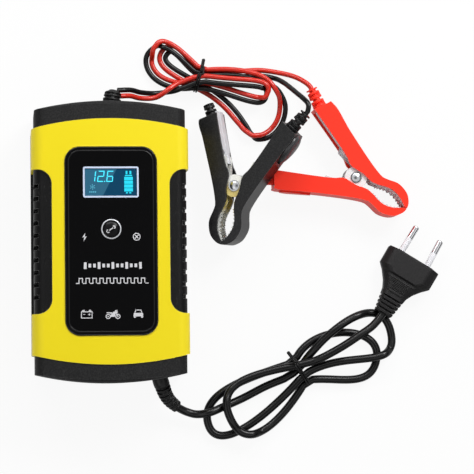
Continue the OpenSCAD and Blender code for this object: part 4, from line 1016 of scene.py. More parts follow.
def figure(code):
    """One seven-segment figure, its foot at the origin."""
    h, w, t, gap = FIGURE_HEIGHT, FIGURE_WIDTH, FIGURE_LINE, SEGMENT_GAP
    m = h / 2
    bars = {
        "a": [(gap, h), (w - gap, h), (w - t, h - t), (t, h - t)],
        "d": [(gap, 0), (w - gap, 0), (w - t, t), (t, t)],
        "g": [(t, m + t / 2), (gap, m), (t, m - t / 2), (w - t, m - t / 2), (w - gap, m), (w - t, m + t / 2)],
        "f": [(0, h - gap), (0, m + gap), (t, m + t / 2 + gap), (t, h - t - gap)],
        "b": [(w, h - gap), (w, m + gap), (w - t, m + t / 2 + gap), (w - t, h - t - gap)],
        "e": [(0, m - gap), (0, gap), (t, t + gap), (t, m - t / 2 - gap)],
        "c": [(w, m - gap), (w, gap), (w - t, t + gap), (w - t, m - t / 2 - gap)],
    }
    return [[(x + FIGURE_SLANT * y, y) for x, y in bars[s]] for s in SEGMENTS[code]]


def on_glass(x, y):
    return GLASS_TOP


READING, READING_FOOT = (("1", -13.4), ("2", -8.3), ("6", -2.8)), 35.4
reading = [shape for code, x in READING for shape in moved(figure(code), x, READING_FOOT)]
reading += moved([disc(0, 0, 0.36, 12)], -3.7, 35.7)
printed("display_reading", reading, on_glass, "lit_cyan", slot="display_glass")
print("segments and point of the reading:", len(reading))

# %% [markdown]
# The frost sign is three strokes through one point, with a small barb on each of its six arms, over
# four short bars. The battery on the right is four bars, a lid, two posts and two feet.

# %% Frost sign and battery on the display
FROST_ARM, FROST_BARB, BARB_ANGLE = 1.7, 1.1, 24


def polar(radius, angle):
    return radius * cos(radians(angle)), radius * sin(radians(angle))


def opposite(point):
    return -point[0], -point[1]


frost = [stroke(polar(FROST_ARM, a), opposite(polar(FROST_ARM, a)), 0.22) for a in (30, 90, 150)]
frost += [stroke(polar(FROST_ARM, a), polar(FROST_BARB, a + BARB_ANGLE), 0.2) for a in range(30, 390, 60)]
small_bars = [block(-12.9 + 1.1 * k, 29.0, -12.2 + 1.1 * k, 29.8) for k in range(4)]
frost_sign = moved(frost, -11.0, 32.4) + small_bars
printed("display_frost_sign", frost_sign, on_glass, "lit_dim", slot="display_glass")

cell_bars = [block(8.0, 29.6 + 2.28 * k, 13.2, 31.6 + 2.28 * k) for k in range(4)]
cell_caps = [
    block(8.5, 38.9, 12.7, 39.6), block(8.9, 40.0, 10.0, 42.0), block(11.2, 40.0, 12.3, 42.0),
    block(9.0, 28.4, 10.2, 29.2), block(11.0, 28.4, 12.2, 29.2),
]
printed("display_battery", cell_bars + cell_caps, on_glass, "lit_teal", slot="display_glass")
print("battery bars on the display:", len(cell_bars))

# %% [markdown]
# The button's dome carries a spanner. Its height under the sign isn't worked out: a ray from above
# finds the dome, wherever the CAD has it, and the ink lies on the point that the ray meets.

# %% Sign on the button
BUTTON_Y, BUTTON_INK, ABOVE_ALL, SPANNER_ANGLE = 7, 0.12, 80, 35
button = frame["nodes"]["repair_button"]
into_button = button.matrix_world.inverted()


def on_button(x, y):
    """Height of the button's dome, found by a ray from above."""
    start = into_button @ (Vector((x, y, ABOVE_ALL)) * MM)
    way = (into_button.to_3x3() @ -UPWARDS).normalized()
    dome_point = button.ray_cast(start, way)[1]
    return (button.matrix_world @ dome_point).z / MM


def turned(shapes, angle):
    c, s = cos(radians(angle)), sin(radians(angle))
    return [[(x * c - y * s, x * s + y * c) for x, y in shape] for shape in shapes]


left_jaw, handle = band(1.25, 0.62, start=60, end=300, steps=14), [block(1.0, -0.36, 4.2, 0.36)]
right_jaw = moved(band(1.15, 0.5, start=-110, end=110, steps=14), 5.0, 0.0)
spanner = turned(moved(left_jaw + handle + right_jaw, -2.4, 0, 0.86), SPANNER_ANGLE)
printed("button_sign", moved(spanner, 0, BUTTON_Y), on_button, "ink_white", slot="button_black",
        body="repair_button", ink=BUTTON_INK)
print("button top at", round(on_button(0, BUTTON_Y), 2), "mm")

# %% [markdown]
# ## The mains plug
# A flat two-pin plug is moulded in one shot around its pins and the end of the lead. Its sides taper
# to a ribbed tail that lets the lead bend, its long edges are bevelled, and bars across the taper
# give the fingers a hold. Section after section along its length gives the whole body. Each table
# below pairs a distance behind the plug's face with a half width, a half height or a bevel. A bar or
# a groove has its edge at a share of its pitch, with a slope around it, and both stand in one pair.

# %% Section of the plug
PLUG_WIDTHS = [(0, 17.65), (11.9, 17.65), (15.4, 14.2), (20.6, 10.2), (24.9, 8.0), (28.6, 7.3), (39.2, 5.5)]
PLUG_HEIGHTS = [(0, 6.85), (14.6, 6.85), (15.6, 5.5), (28.6, 5.4), (39.2, 4.6)]
PLUG_BEVELS = [(0, 5.4), (14.6, 6.4), (15.6, 4.6), (28.6, 2.4), (39.2, 1.8)]
BARS_FROM, BARS_TO, BAR_PITCH, BAR_HEIGHT = 16.6, 23.6, 0.9, 0.62
COLLAR_FROM, COLLAR_TO, COLLAR_HEIGHT = 24.6, 25.8, 0.7
TAIL_RIBS, TAIL_GROOVE, FACE_ROUNDING, BEVEL_SLOPE = 4, 0.32, 0.9, 0.72
BAR_EDGE, TAIL_GROOVE_FROM, TAIL_GROOVE_TO = (0.42, 0.2), (0.04, 0.06), (0.36, 0.12)
TOP_POINTS, PLUG_STEPS = 16, 262


def between(table, s):
    """Value at s in a table of places and values, in a straight line from row to row."""
    for (s0, v0), (s1, v1) in zip(table, table[1:]):
        if s <= s1:
            return v0 + (v1 - v0) * max(s - s0, 0) / (s1 - s0)
    return table[-1][1]


def plug_section(s):
    """Outline of the plug at a distance behind its face, with its bars and ribs."""
    half, high, bevel = (between(table, s) for table in (PLUG_WIDTHS, PLUG_HEIGHTS, PLUG_BEVELS))
    rounding = FACE_ROUNDING * (1 - sqrt(max(1 - max((FACE_ROUNDING - s) / FACE_ROUNDING, 0) ** 2, 0)))
    half, high = half - rounding, high - rounding
    if s > PLUG_LENGTH:
        f = (s - PLUG_LENGTH) / (PLUG_TAIL / TAIL_RIBS) % 1
        cut = 1 - TAIL_GROOVE * (1 - step_up(f, *TAIL_GROOVE_TO)) * step_up(f, *TAIL_GROOVE_FROM)
        half, high, bevel = half * cut, high * cut, bevel * cut
    raised = 0.0
    if BARS_FROM < s < BARS_TO:
        raised = BAR_HEIGHT * step_up((s - BARS_FROM) / BAR_PITCH % 1, *BAR_EDGE)
    elif COLLAR_FROM < s < COLLAR_TO:
        raised = COLLAR_HEIGHT
    flat, fall = half - bevel, BEVEL_SLOPE * bevel
    lifts = [0] + [raised] * (TOP_POINTS - 1) + [0]
    top = [(flat * (2 * k / TOP_POINTS - 1), high + lift) for k, lift in enumerate(lifts)]
    corner = [(flat + bevel * k / 3, high - BEVEL_SLOPE * bevel * k / 3) for k in (1, 2, 3)]
    side = [(half, (high - fall) * (1 - k)) for k in (0.5, 1, 1.5)]
    upper = top + corner + side
    return upper + [(half, -(high - fall))] + [(-x, -z) for x, z in upper] + [(-half, high - fall)]


print("the plug's face measures", [round(2 * max(side), 1) for side in zip(*plug_section(0))], "mm")

# %% [markdown]
# The sections stand 0.15 mm apart, close enough for the soft edges of bars and ribs. Each is turned
# with the plug, which lies a little askew on the table, and the shell takes the place of the CAD body.

# %% Moulded plug
plug_points = []
for i in range(PLUG_STEPS):
    s = (PLUG_LENGTH + PLUG_TAIL) * i / (PLUG_STEPS - 1)
    plug_points += [PLUG_FRONT + plug_spin.to_3x3() @ Vector((x, -s, z)) for x, z in plug_section(s)]
plug_sides = len(plug_points) // PLUG_STEPS
plug_faces = grid_faces(PLUG_STEPS, plug_sides)
mesh_piece("plug_shell", plug_points, plug_faces, "charger", "plug_black", ("plug_body",))
print("plug shell of", PLUG_STEPS, "sections with", plug_sides, "points")

# %% [markdown]
# ## Clamp arms and thumb pad
# The plastic grips are only a skin. Inside each one a channel of bent sheet steel runs from the jaw
# to the end of the grip, and its back closes the grip's open side. The back has a shallow bead along
# its middle, and it narrows towards the jaw. The thumb finds a domed pad on the outer wall of the
# grip that carries the lead.

# %% Steel arms
ARM_START, ARM_END, ARM_THICK, ARM_HALF = Vector((7.6, 12.6)), Vector((20.6, 42.9)), 0.8, 6.7
ARM_STEPS, ARM_SINKS, NARROWING, NARROW_UNTIL, NARROW_SLOPE = 30, 0.6, 0.4, 6.5, 4
ARM_PROFILE = [
    (-ARM_HALF, 0.0), (-ARM_HALF + 0.7, 0.3), (-2.6, 0.3), (-2.0, 0.65),
    (2.0, 0.65), (2.6, 0.3), (ARM_HALF - 0.7, 0.3), (ARM_HALF, 0.0),
]
arm_way = (ARM_END - ARM_START).normalized()
arm_out = Vector((arm_way.y, -arm_way.x))
arm_ring = [(z, ARM_SINKS - d) for z, d in ARM_PROFILE]
arm_ring += [(z, ARM_SINKS - d + ARM_THICK) for z, d in reversed(ARM_PROFILE)]


def steel_arm(clamp, side, name, body):
    """The channel's back on one side of a clamp: 1 for the grip with the lead, -1 for the free one."""
    points = []
    for k in range(ARM_STEPS + 1):
        at = ARM_START + (ARM_END - ARM_START) * k / ARM_STEPS + clamp.arm_recess * arm_out
        narrow = 1 - NARROWING * (1 - step_up(k, NARROW_UNTIL, NARROW_SLOPE))
        for z, d in arm_ring:
            place_in_clamp = at + arm_out * d
            points.append(clamp_point(clamp, side * place_in_clamp.x, place_in_clamp.y, z * narrow))
    faces = grid_faces(ARM_STEPS + 1, len(arm_ring))
    mesh_piece(name, points, faces, body, "jaw_steel", smooth=False, look="bare_steel")


for clamp in CLAMPS:
    steel_arm(clamp, 1, clamp.colour + "_cord_arm", "charger")
    steel_arm(clamp, -1, clamp.colour + "_free_arm", clamp.colour + "_free_half")
print("arms:", names_of(4))

# %% [markdown]
# The pad is a dome with an egg-shaped outline: ring after ring from its middle outwards, each lower
# than the one before, then the rim and a foot that sinks into the grip.

# %% Thumb pad
PAD_CENTRE, PAD_WAY, PAD_OUT = Vector((27.9, 29.4)), Vector((0.448, 0.894)), Vector((0.894, -0.448))
PAD_DOME, PAD_RIM, PAD_FOOT, PAD_FULLNESS = 2.9, 0.5, -0.6, 2.6
PAD_HALF_LENGTH, PAD_SHIFT, PAD_HALF_WIDTH, PAD_MEAN_WIDTH, PAD_EGG = 10.3, -0.7, 8.2, 0.83, 0.2
PAD_RINGS, PAD_SIDES = 12, 56

pad_heights = [PAD_RIM + PAD_DOME * sqrt(1 - ((j + 1) / PAD_RINGS) ** PAD_FULLNESS) for j in range(PAD_RINGS)]
pad_points = []
for j, height in enumerate(pad_heights + [0.0, PAD_FOOT]):
    share = min(j + 1, PAD_RINGS) / PAD_RINGS
    for k in range(PAD_SIDES):
        a = 2 * pi * k / PAD_SIDES
        u = share * (PAD_SHIFT + PAD_HALF_LENGTH * cos(a))
        v = share * PAD_HALF_WIDTH * sin(a) * (PAD_MEAN_WIDTH + PAD_EGG * cos(a))
        at = PAD_CENTRE + u * PAD_WAY + height * PAD_OUT
        pad_points.append(clamp_point(BLACK_CLAMP, at.x, at.y, v))
pad_faces = grid_faces(PAD_RINGS + 2, PAD_SIDES)
# the black pad takes a mid grey finish: a painted highlight for the light on its dome
mesh_piece("black_thumb_pad", pad_points, pad_faces, "charger", "clamp_black", look="pad_grey")
print("thumb pad of", len(pad_points), "points")

# %% [markdown]

# %% [markdown]
# ## Shared surface effects
# Real mouldings are never one flat colour. Three effects come back on most pieces, so each is a
# shader group, built once and set by its inputs: the fine grain of the tool, the faint marks of
# handling, and a mask of edges, along which a painted edge highlight is laid: a lighter colour that
# stands in for the light that a small rounding would catch.

# %% Helpers for shader nodes
COLOUR_OUT = 2
RGBA = (("data_type", "RGBA"),)


def place(tree, kind, settings=(), **inputs):
    """Adds a node, sets its properties and then its sockets, each to a value or to a link.

    A socket is named by its label, with _ for a space, or by i and its number."""
    node = tree.nodes.new(kind)
    for name, value in settings:
        setattr(node, name, value)
    for name, value in inputs.items():
        by_number = name[0] == "i" and name[1:].isdigit()
        socket = node.inputs[int(name[1:])] if by_number else node.inputs[name.replace("_", " ")]
        if isinstance(value, bpy.types.NodeSocket):
            tree.links.new(value, socket)
        else:
            socket.default_value = value
    return node


def maths(tree, operation, a, b=0.5, clamp=False):
    settings = (("operation", operation), ("use_clamp", clamp))
    return place(tree, "ShaderNodeMath", settings, i0=a, i1=b).outputs[0]


def dot_product(tree, a, b):
    return place(tree, "ShaderNodeVectorMath", (("operation", "DOT_PRODUCT"),), i0=a, i1=b).outputs["Value"]


def blended(tree, share, first, second):
    """The colour between two others, at a share from 0 to 1."""
    return place(tree, "ShaderNodeMix", RGBA, i0=share, i6=first, i7=second).outputs[COLOUR_OUT]


def object_place(tree):
    return tree.nodes.new("ShaderNodeTexCoord").outputs["Object"]


def new_group(name, inputs, outputs):
    """An empty shader group with named inputs, each with its usual value, and named outputs."""
    group = bpy.data.node_groups.new(name, "ShaderNodeTree")
    for label, value in inputs:
        socket = group.interface.new_socket(label, in_out="INPUT", socket_type="NodeSocketFloat")
        socket.default_value = value
    for label in outputs:
        group.interface.new_socket(label, in_out="OUTPUT", socket_type="NodeSocketFloat")
    return group, group.nodes.new("NodeGroupInput").outputs, group.nodes.new("NodeGroupOutput").inputs


# %% [markdown]
# A moulding tool is etched or spark-eroded, and the plastic copies its grain. Fine noise and small
# cells together give its height. A second, much coarser noise gives the slow drift of the colour.

# %% Tool grain
DRIFT_SCALE = 38.0
grain, grain_in, grain_out = new_group("tool grain", (("Cells per mm", 3.0), ("Coarse share", 0.35)),
                                       ("Height", "Tone"))
where = object_place(grain)
per_metre = maths(grain, "MULTIPLY", grain_in["Cells per mm"], 1 / MM)
fine = place(grain, "ShaderNodeTexNoise", Vector=where, Scale=per_metre, Detail=3.0, Roughness=0.6)
cells = place(grain, "ShaderNodeTexVoronoi", Vector=where, Scale=per_metre)
drift = place(grain, "ShaderNodeTexNoise", Vector=where, Scale=DRIFT_SCALE, Detail=2.0)
mixed = place(grain, "ShaderNodeMix", i0=grain_in["Coarse share"],
              i2=fine.outputs["Fac"], i3=cells.outputs["Distance"])
grain.links.new(mixed.outputs[0], grain_out["Height"])
grain.links.new(drift.outputs["Fac"], grain_out["Tone"])
print("group:", grain.name, "with", len(grain.nodes), "nodes")

# %% [markdown]
# Handling leaves fine hairlines, and only in patches. Stretched noise gives the hairs, plain noise
# the patches, and both are cut at a threshold and multiplied.

# %% Marks of handling
HAIR_SCALE, HAIR_STRETCH, HAIR_TURN = 1900.0, 0.16, 0.5
HAIRS_ABOVE, HAIR_CONTRAST, PATCHES_ABOVE, PATCH_CONTRAST = 0.6, 5.0, 0.45, 4.0
marks, marks_in, marks_out = new_group("handling marks", (("Amount", 0.3), ("Spread", 60.0)), ("Mask",))
where = object_place(marks)
long_way = place(marks, "ShaderNodeMapping", Vector=where, Scale=(1.0, HAIR_STRETCH, 1.0),
                 Rotation=(0.0, 0.0, HAIR_TURN))
hairs = place(marks, "ShaderNodeTexNoise", Vector=long_way.outputs[0], Scale=HAIR_SCALE, Detail=2.0)
patches = place(marks, "ShaderNodeTexNoise", Vector=where, Scale=marks_in["Spread"], Detail=3.0)
thin = maths(marks, "SUBTRACT", hairs.outputs["Fac"], HAIRS_ABOVE, True)
thin = maths(marks, "MULTIPLY", thin, HAIR_CONTRAST, True)
here = maths(marks, "SUBTRACT", patches.outputs["Fac"], PATCHES_ABOVE, True)
here = maths(marks, "MULTIPLY", here, PATCH_CONTRAST, True)
faint = maths(marks, "MULTIPLY", maths(marks, "MULTIPLY", thin, here), marks_in["Amount"], True)
marks.links.new(faint, marks_out["Mask"])
print("group:", marks.name, "with", len(marks.nodes), "nodes")

# %% [markdown]
# An edge can be found without any geometry of its own: the Bevel node gives the normal that a small
# rounding would have, and where it turns away from the true normal, there is an edge. There the
# finishes lay a painted edge highlight, and on the jaws and rivets a painted dark reflection.

# %% Mask for painted edge highlights
EDGE_CONTRAST = 3.0
edge_paint, edge_paint_in, edge_paint_out = new_group("painted edge mask", (("Radius mm", 0.5), ("Strength", 0.5)), ("Mask",))
radius = maths(edge_paint, "MULTIPLY", edge_paint_in["Radius mm"], MM)
rounding = place(edge_paint, "ShaderNodeBevel", (("samples", 4),), Radius=radius)
flat = edge_paint.nodes.new("ShaderNodeNewGeometry")
off = maths(edge_paint, "SUBTRACT", 1.0, dot_product(edge_paint, rounding.outputs[0], flat.outputs["Normal"]), True)
off = maths(edge_paint, "MULTIPLY", off, EDGE_CONTRAST, True)
edge_paint.links.new(maths(edge_paint, "MULTIPLY", off, edge_paint_in["Strength"], True), edge_paint_out["Mask"])
print("group:", edge_paint.name, "with", len(edge_paint.nodes), "nodes")

# %% [markdown]
# ## Plastics, rubbers and metals
# One function makes each finish from the three effects: the colour drifts a little over the
# surface, the roughness follows the grain, the grain raises the surface, and the edges are painted
# lighter as a painted highlight.
# Gloss, coat and metal are plain numbers on the shader itself.

# %% Colours
def linear(code):
    """A hex colour as the linear values that a shader wants."""
    parts = [int(code[i:i + 2], 16) / 255 for i in (1, 3, 5)]
    return tuple(c / 12.92 if c <= 0.04045 else ((c + 0.055) / 1.055) ** 2.4 for c in parts) + (1.0,)


def shade(colour, factor):
    return tuple(min(c * factor, 1.0) for c in colour[:3]) + (1.0,)


def paler(colour, share):
    """A colour moved a share of its way to white."""
    return tuple(c + share * (1 - c) for c in colour[:3]) + (1.0,)


print("middle grey in linear values:", [round(c, 3) for c in linear("#808080")[:3]])

# %% [markdown]
# What a finish can be told: its roughness and how far that swings (relief), the grain's cells per
# millimetre, its share of coarse cells and its depth in millimetres, the drift of the colour, the
# amount of hairlines, the strength and radius of the painted edge highlight, coat, metal and gloss.
# Some take a speckle, a colour of their own for the painted edges (rim), or a tint: a colour and a
# mask of where it lies.

# %% A finish from the shared effects
EDGE_HIGHLIGHT_SHADE, EDGE_HIGHLIGHT_PALER, METAL_EDGE_HIGHLIGHT_PALER, MARK_PALER, MARK_ROUGHER = 1.15, 0.25, 0.0875, 0.12, 0.15
SPECKLE_FROM, SPECKLE_TO, SPECKLE_SHARE = 0.42, 0.62, 0.9
SMOOTHEST = 0.02


def effect(tree, group, **inputs):
    """The outputs of a shared effect, placed in a material with its own values."""
    return place(tree, "ShaderNodeGroup", (("node_tree", group),), **inputs).outputs


def finish(name, colour, rough=0.4, relief=0.05, cells=3.0, coarse=0.35, depth=0.05, drift=0.06,
           marks_amount=0.25, edge=0.3, edge_radius=0.4, coat=0.0, coat_rough=0.1, metal=0.0, gloss=0.5,
           speckle=0.0, rim=None, tint=None):
    made = bpy.data.materials.new(name)
    made.use_nodes = True
    tree = made.node_tree
    shader = tree.nodes["Principled BSDF"]
    skin = effect(tree, grain, Cells_per_mm=cells, Coarse_share=coarse)
    wear = effect(tree, marks, Amount=marks_amount)["Mask"]
    painted_edge = effect(tree, edge_paint, Radius_mm=edge_radius, Strength=edge)["Mask"]

    seen = blended(tree, skin["Tone"], shade(colour, 1 - drift), shade(colour, 1 + drift))
    if tint:
        tint_colour, tint_mask = tint
        seen = blended(tree, tint_mask(tree), seen, tint_colour)
    if speckle:
        grains = place(tree, "ShaderNodeMapRange", Value=skin["Height"], From_Min=SPECKLE_FROM,
                       From_Max=SPECKLE_TO, To_Max=SPECKLE_SHARE)
        seen = blended(tree, grains.outputs[0], seen, tuple(c + speckle for c in colour[:3]) + (1.0,))
    # painted edge highlight: a paler colour, or the given rim colour, is painted where the edge mask lies
    painted_edge_colour = rim or paler(shade(colour, EDGE_HIGHLIGHT_SHADE), METAL_EDGE_HIGHLIGHT_PALER if metal else EDGE_HIGHLIGHT_PALER)
    seen = blended(tree, painted_edge, seen, painted_edge_colour)
    seen = blended(tree, wear, seen, paler(colour, MARK_PALER))
    tree.links.new(seen, shader.inputs["Base Color"])

    spread = place(tree, "ShaderNodeMapRange", Value=skin["Height"], To_Min=max(rough - relief, SMOOTHEST),
                   To_Max=rough + relief).outputs[0]
    duller = maths(tree, "ADD", spread, maths(tree, "MULTIPLY", wear, MARK_ROUGHER), True)
    tree.links.new(duller, shader.inputs["Roughness"])
    bump = place(tree, "ShaderNodeBump", Strength=1.0, Distance=depth * MM, Height=skin["Height"])
    tree.links.new(bump.outputs[0], shader.inputs["Normal"])
    shader.inputs["Metallic"].default_value = metal
    shader.inputs["Coat Weight"].default_value = coat
    shader.inputs["Coat Roughness"].default_value = coat_rough
    shader.inputs["Specular IOR Level"].default_value = gloss
    return made


print("finishes are made of:", ", ".join(group.name for group in (grain, marks, edge_paint)))

# %% [markdown]
# Finishes are kept by the names of the record's slots. A slot's finish is made once, however many
# pieces share it, so a change of colour is one edit.

# %% Finishes by slot
FINISHES = {}


def add_finish(slot, name, code, **settings):
    """The finish of one slot of the record."""
    FINISHES[slot] = finish(name, linear(code), **settings)


# %% [markdown]
# ### The case
# The cover is a clear yellow with a satin skin, the caps and tray are charcoal with a coarse spark
# grain and pale speckles, and the grilles are black with a strong painted edge highlight along their
# slots and outer edges. The panel is the one true gloss surface: its grain is almost nil, and a thin
# coat lies on top.

# %% Case finishes
add_finish("yellow_plastic", "yellow satin moulding", "#EAD513", rough=0.38, cells=4, depth=0.006,
           drift=0.015, edge_radius=0.6, marks_amount=0.12, gloss=0.35)
add_finish("charcoal_plastic", "charcoal textured moulding", "#060607", rough=0.58, relief=0.12, cells=1.3,
           coarse=0.6, depth=0.07, drift=0.1, edge=0.22, edge_radius=0.7, gloss=0.27, speckle=0.011)
# edge=1.0 paints a strong pale highlight along the grille's slots and outer edges
add_finish("black_plastic", "black grille moulding", "#070708", rough=0.42, cells=1.3, coarse=0.8, depth=0.13,
           edge=1.0, marks_amount=0.5, gloss=0.2)
add_finish("panel_gloss", "black gloss panel", "#050506", rough=0.1, relief=0.02, cells=1.0, depth=0.0008,
           drift=0.02, edge=0.1, edge_radius=0.6, marks_amount=0.05, coat=0.2, coat_rough=0.04, gloss=0.4)
print("case finishes:", len(FINISHES))

# %% [markdown]
# ### Display and button
# Two of these finishes change over their piece. The display is painted paler to the left of a slanting
# line, a painted reflection of the room in the glass, and the button's silver ring is dark on its
# inner wall. Both are masks from the piece's own coordinates.

# %% Masks on the display and the ring
DIAGONAL_SLOPE, DIAGONAL_REACH, DIAGONAL_SHARPNESS = 0.509, 18.34, 2500.0
RING_INNER, RING_SHARPNESS = 5.45, 5000.0


def painted_glass_reflection(tree):
    """Mask of a painted reflection of the room on the display's left part, with a soft slanting border."""
    at = place(tree, "ShaderNodeSeparateXYZ", Vector=object_place(tree)).outputs
    slant = maths(tree, "SUBTRACT", maths(tree, "MULTIPLY", at["Y"], DIAGONAL_SLOPE), at["X"])
    past = maths(tree, "SUBTRACT", slant, DIAGONAL_REACH * MM)
    return maths(tree, "MULTIPLY", past, DIAGONAL_SHARPNESS, True)


def inside_ring(tree):
    """Mask of the button ring's inner wall, which the finish makes dark."""
    at = place(tree, "ShaderNodeSeparateXYZ", Vector=object_place(tree)).outputs
    off_y = maths(tree, "SUBTRACT", at["Y"], BUTTON_Y * MM)
    squares = maths(tree, "ADD", maths(tree, "POWER", at["X"], 2.0), maths(tree, "POWER", off_y, 2.0))
    inwards = maths(tree, "SUBTRACT", RING_INNER * MM, maths(tree, "SQRT", squares))
    return maths(tree, "MULTIPLY", inwards, RING_SHARPNESS, True)


add_finish("frame_pale", "pale display frame", "#C9D6EE", rough=0.35, depth=0.01, drift=0.02, edge=0.2)
add_finish("display_glass", "display glass", "#08405F", rough=0.12, relief=0.02, depth=0.001, edge=0.0,
           # the paler grey-blue left of the slant is a painted reflection of the room in the glass
           coat=0.4, coat_rough=0.03, tint=(linear("#2F6580"), painted_glass_reflection))
add_finish("light_guide", "light guide", "#E8EEF4", rough=0.3, depth=0.005)
add_finish("ring_silver", "silver button ring", "#D9DBE0", rough=0.3, depth=0.004, drift=0.03, edge=0.1,
           metal=0.3, tint=(linear("#0A0A0B"), inside_ring))
add_finish("button_black", "black domed button", "#0C0C0E", rough=0.22, relief=0.03, depth=0.002, edge=0.1,
           marks_amount=0.05, gloss=0.12)
print("with display and button:", len(FINISHES))

# %% [markdown]
# ### Inside the case
# The boards and components are seen only when the case is opened, but each has its own material.

# %% Component finishes
add_finish("circuit_board", "green circuit board", "#1F5B3A", rough=0.35, cells=0.5, depth=0.02, drift=0.25)
add_finish("component_metal", "tinned component metal", "#B9BBC0", rough=0.3, depth=0.01, metal=1.0)
add_finish("ferrite", "sintered ferrite", "#4A4A4C", rough=0.7, cells=2)
add_finish("copper_winding", "enamelled copper", "#B5642B", rough=0.3, depth=0.03, metal=1.0)
add_finish("capacitor_sleeve", "capacitor sleeve", "#272A52", rough=0.25, depth=0.01, coat=0.4)
add_finish("heat_sink_aluminium", "extruded aluminium", "#C9CCD0", rough=0.38, depth=0.02, metal=1.0)
add_finish("component_black", "moulded component", "#1C1C1E", rough=0.5, depth=0.03)
add_finish("fuse_glass", "fuse glass and caps", "#D8DCDF", rough=0.15, depth=0.003, coat=0.5)
add_finish("ribbon_grey", "grey ribbon cable", "#8A8F98", rough=0.5, depth=0.03)
add_finish("wire_brown", "brown wire insulation", "#6B4A2C", depth=0.01)
add_finish("wire_red", "red wire insulation", "#C8281C", depth=0.01)
print("with the components:", len(FINISHES))

# %% [markdown]
# ### Cords and plug
# Cord sheaths are soft vinyl, a little glossy, and have no edges to light. The plug and the strain
# reliefs are duller. The pins are nickel, almost a mirror, with white sleeves at their roots.

# %% Cord and plug finishes
add_finish("relief_black", "black flexible sleeve", "#0D0D0E", rough=0.42, cells=2.5, depth=0.02, drift=0.1,
           edge=0.35, edge_radius=0.3, gloss=0.35)
add_finish("cord_black", "black cord sheath", "#080809", rough=0.3, cells=2.2, depth=0.008, drift=0.08,
           edge=0.0, coat=0.1, coat_rough=0.2, gloss=0.28)
add_finish("cord_red", "red cord sheath", "#C8220F", rough=0.3, cells=2.2, depth=0.006, drift=0.05, edge=0.0,
           coat=0.25, coat_rough=0.18, marks_amount=0.1, gloss=0.4)
add_finish("tie_black", "black cable tie", "#0B0B0C", rough=0.35, cells=2, depth=0.01, gloss=0.3)
add_finish("plug_black", "black moulded plug", "#141314", rough=0.48, coarse=0.5, depth=0.03,
           edge_radius=0.5, gloss=0.3)
add_finish("pin_metal", "nickel plated pin", "#E2E3E6", rough=0.09, relief=0.03, depth=0.001, edge=0.05,
           metal=1.0)
add_finish("sleeve_white", "white pin sleeve", "#E6E6EA", depth=0.004, drift=0.02, edge=0.1)
print("with cords and plug:", len(FINISHES))

# %% [markdown]
# ### Clamps
# The grips are moulded in red and black. The jaws are stamped from plated sheet, bright on the flat,
# and their edges carry a painted dark reflection: their edge colour is a dark grey.

# %% Clamp finishes
# dark grey painted along the jaws' edges: a painted dark reflection
DARK_EDGE_REFLECTION = linear("#55585C")
add_finish("clamp_red", "red clamp moulding", "#FC3724", cells=2.4, depth=0.01, drift=0.03, edge=0.22,
           edge_radius=0.5, marks_amount=0.12, gloss=0.2)
add_finish("clamp_black", "black clamp moulding", "#0B0B0D", rough=0.32, cells=1.2, depth=0.02, drift=0.08,
           edge_radius=0.5, gloss=0.3, speckle=0.012)
add_finish("jaw_steel", "plated jaw steel", "#F6F7F9", rough=0.26, relief=0.06, depth=0.004, edge=1.0,
           edge_radius=0.35, marks_amount=0.5, metal=0.22, rim=DARK_EDGE_REFLECTION)
add_finish("spring_steel", "spring wire", "#9FA3A8", rough=0.28, depth=0.006, metal=0.8)
print("finishes for the record's slots:", len(FINISHES))

# %% [markdown]
# ### Finishes of single pieces
# Some pieces look different from their slot: the rivets, the bare arms, the pad, and the ink and lit
# segments. Ink is a plain colour with the fine unevenness of a print, and a lit segment also gives a
# little light of its own.

# %% Ink, lit signs and bare metal
def film(name, code, light):
    """Printed or lit film, with the strength of the light that it gives."""
    colour = linear(code)
    made = finish(name, colour, cells=6.0, depth=0.002, drift=0.05, edge=0.0, marks_amount=0.15)
    shader = made.node_tree.nodes["Principled BSDF"]
    shader.inputs["Emission Color"].default_value = colour
    shader.inputs["Emission Strength"].default_value = light
    return made


LOOKS = {
    # the rivet's edges are painted near black: a painted dark reflection
    "rivet_steel": finish("turned rivet", linear("#C4C6CA"), rough=0.22, relief=0.08, depth=0.01, metal=0.95,
                          edge=1.0, edge_radius=0.5, rim=linear("#303236")),
    "ink_white": film("white ink", "#CFCFD2", 0.0),
    "lit_cyan": film("lit cyan segment", "#3CCBE2", 0.6),
    "lit_teal": film("lit teal segment", "#12B6CC", 0.5),
    "lit_dim": film("dim segment", "#4A9DB4", 0.35),
    "bare_steel": finish("bare steel arm", linear("#DADBDF"), rough=0.42, relief=0.08, depth=0.004,
                         metal=0.25, edge=0.15, marks_amount=0.7),
    # a black pad painted mid grey: painted highlight
    "pad_grey": finish("thumb pad with painted highlight", linear("#3A3A3C"), rough=0.28, depth=0.01, edge=0.1),
}
print("looks of single pieces:", ", ".join(LOOKS))

# %% [markdown]
# The black clamp's jaws keep a yellow passivation between the rivet and the teeth. Its mask runs
# along the clamp: each jaw's own coordinates are turned into the way from the pivot, and the yellow
# fades in and out over a few millimetres.

# %% Yellow plating on the black clamp's jaws
GILDED_FROM, GILDED_TO, FADE_PER_METRE, GILDED_SHARE = 2.5, 19, 220.0, 0.85


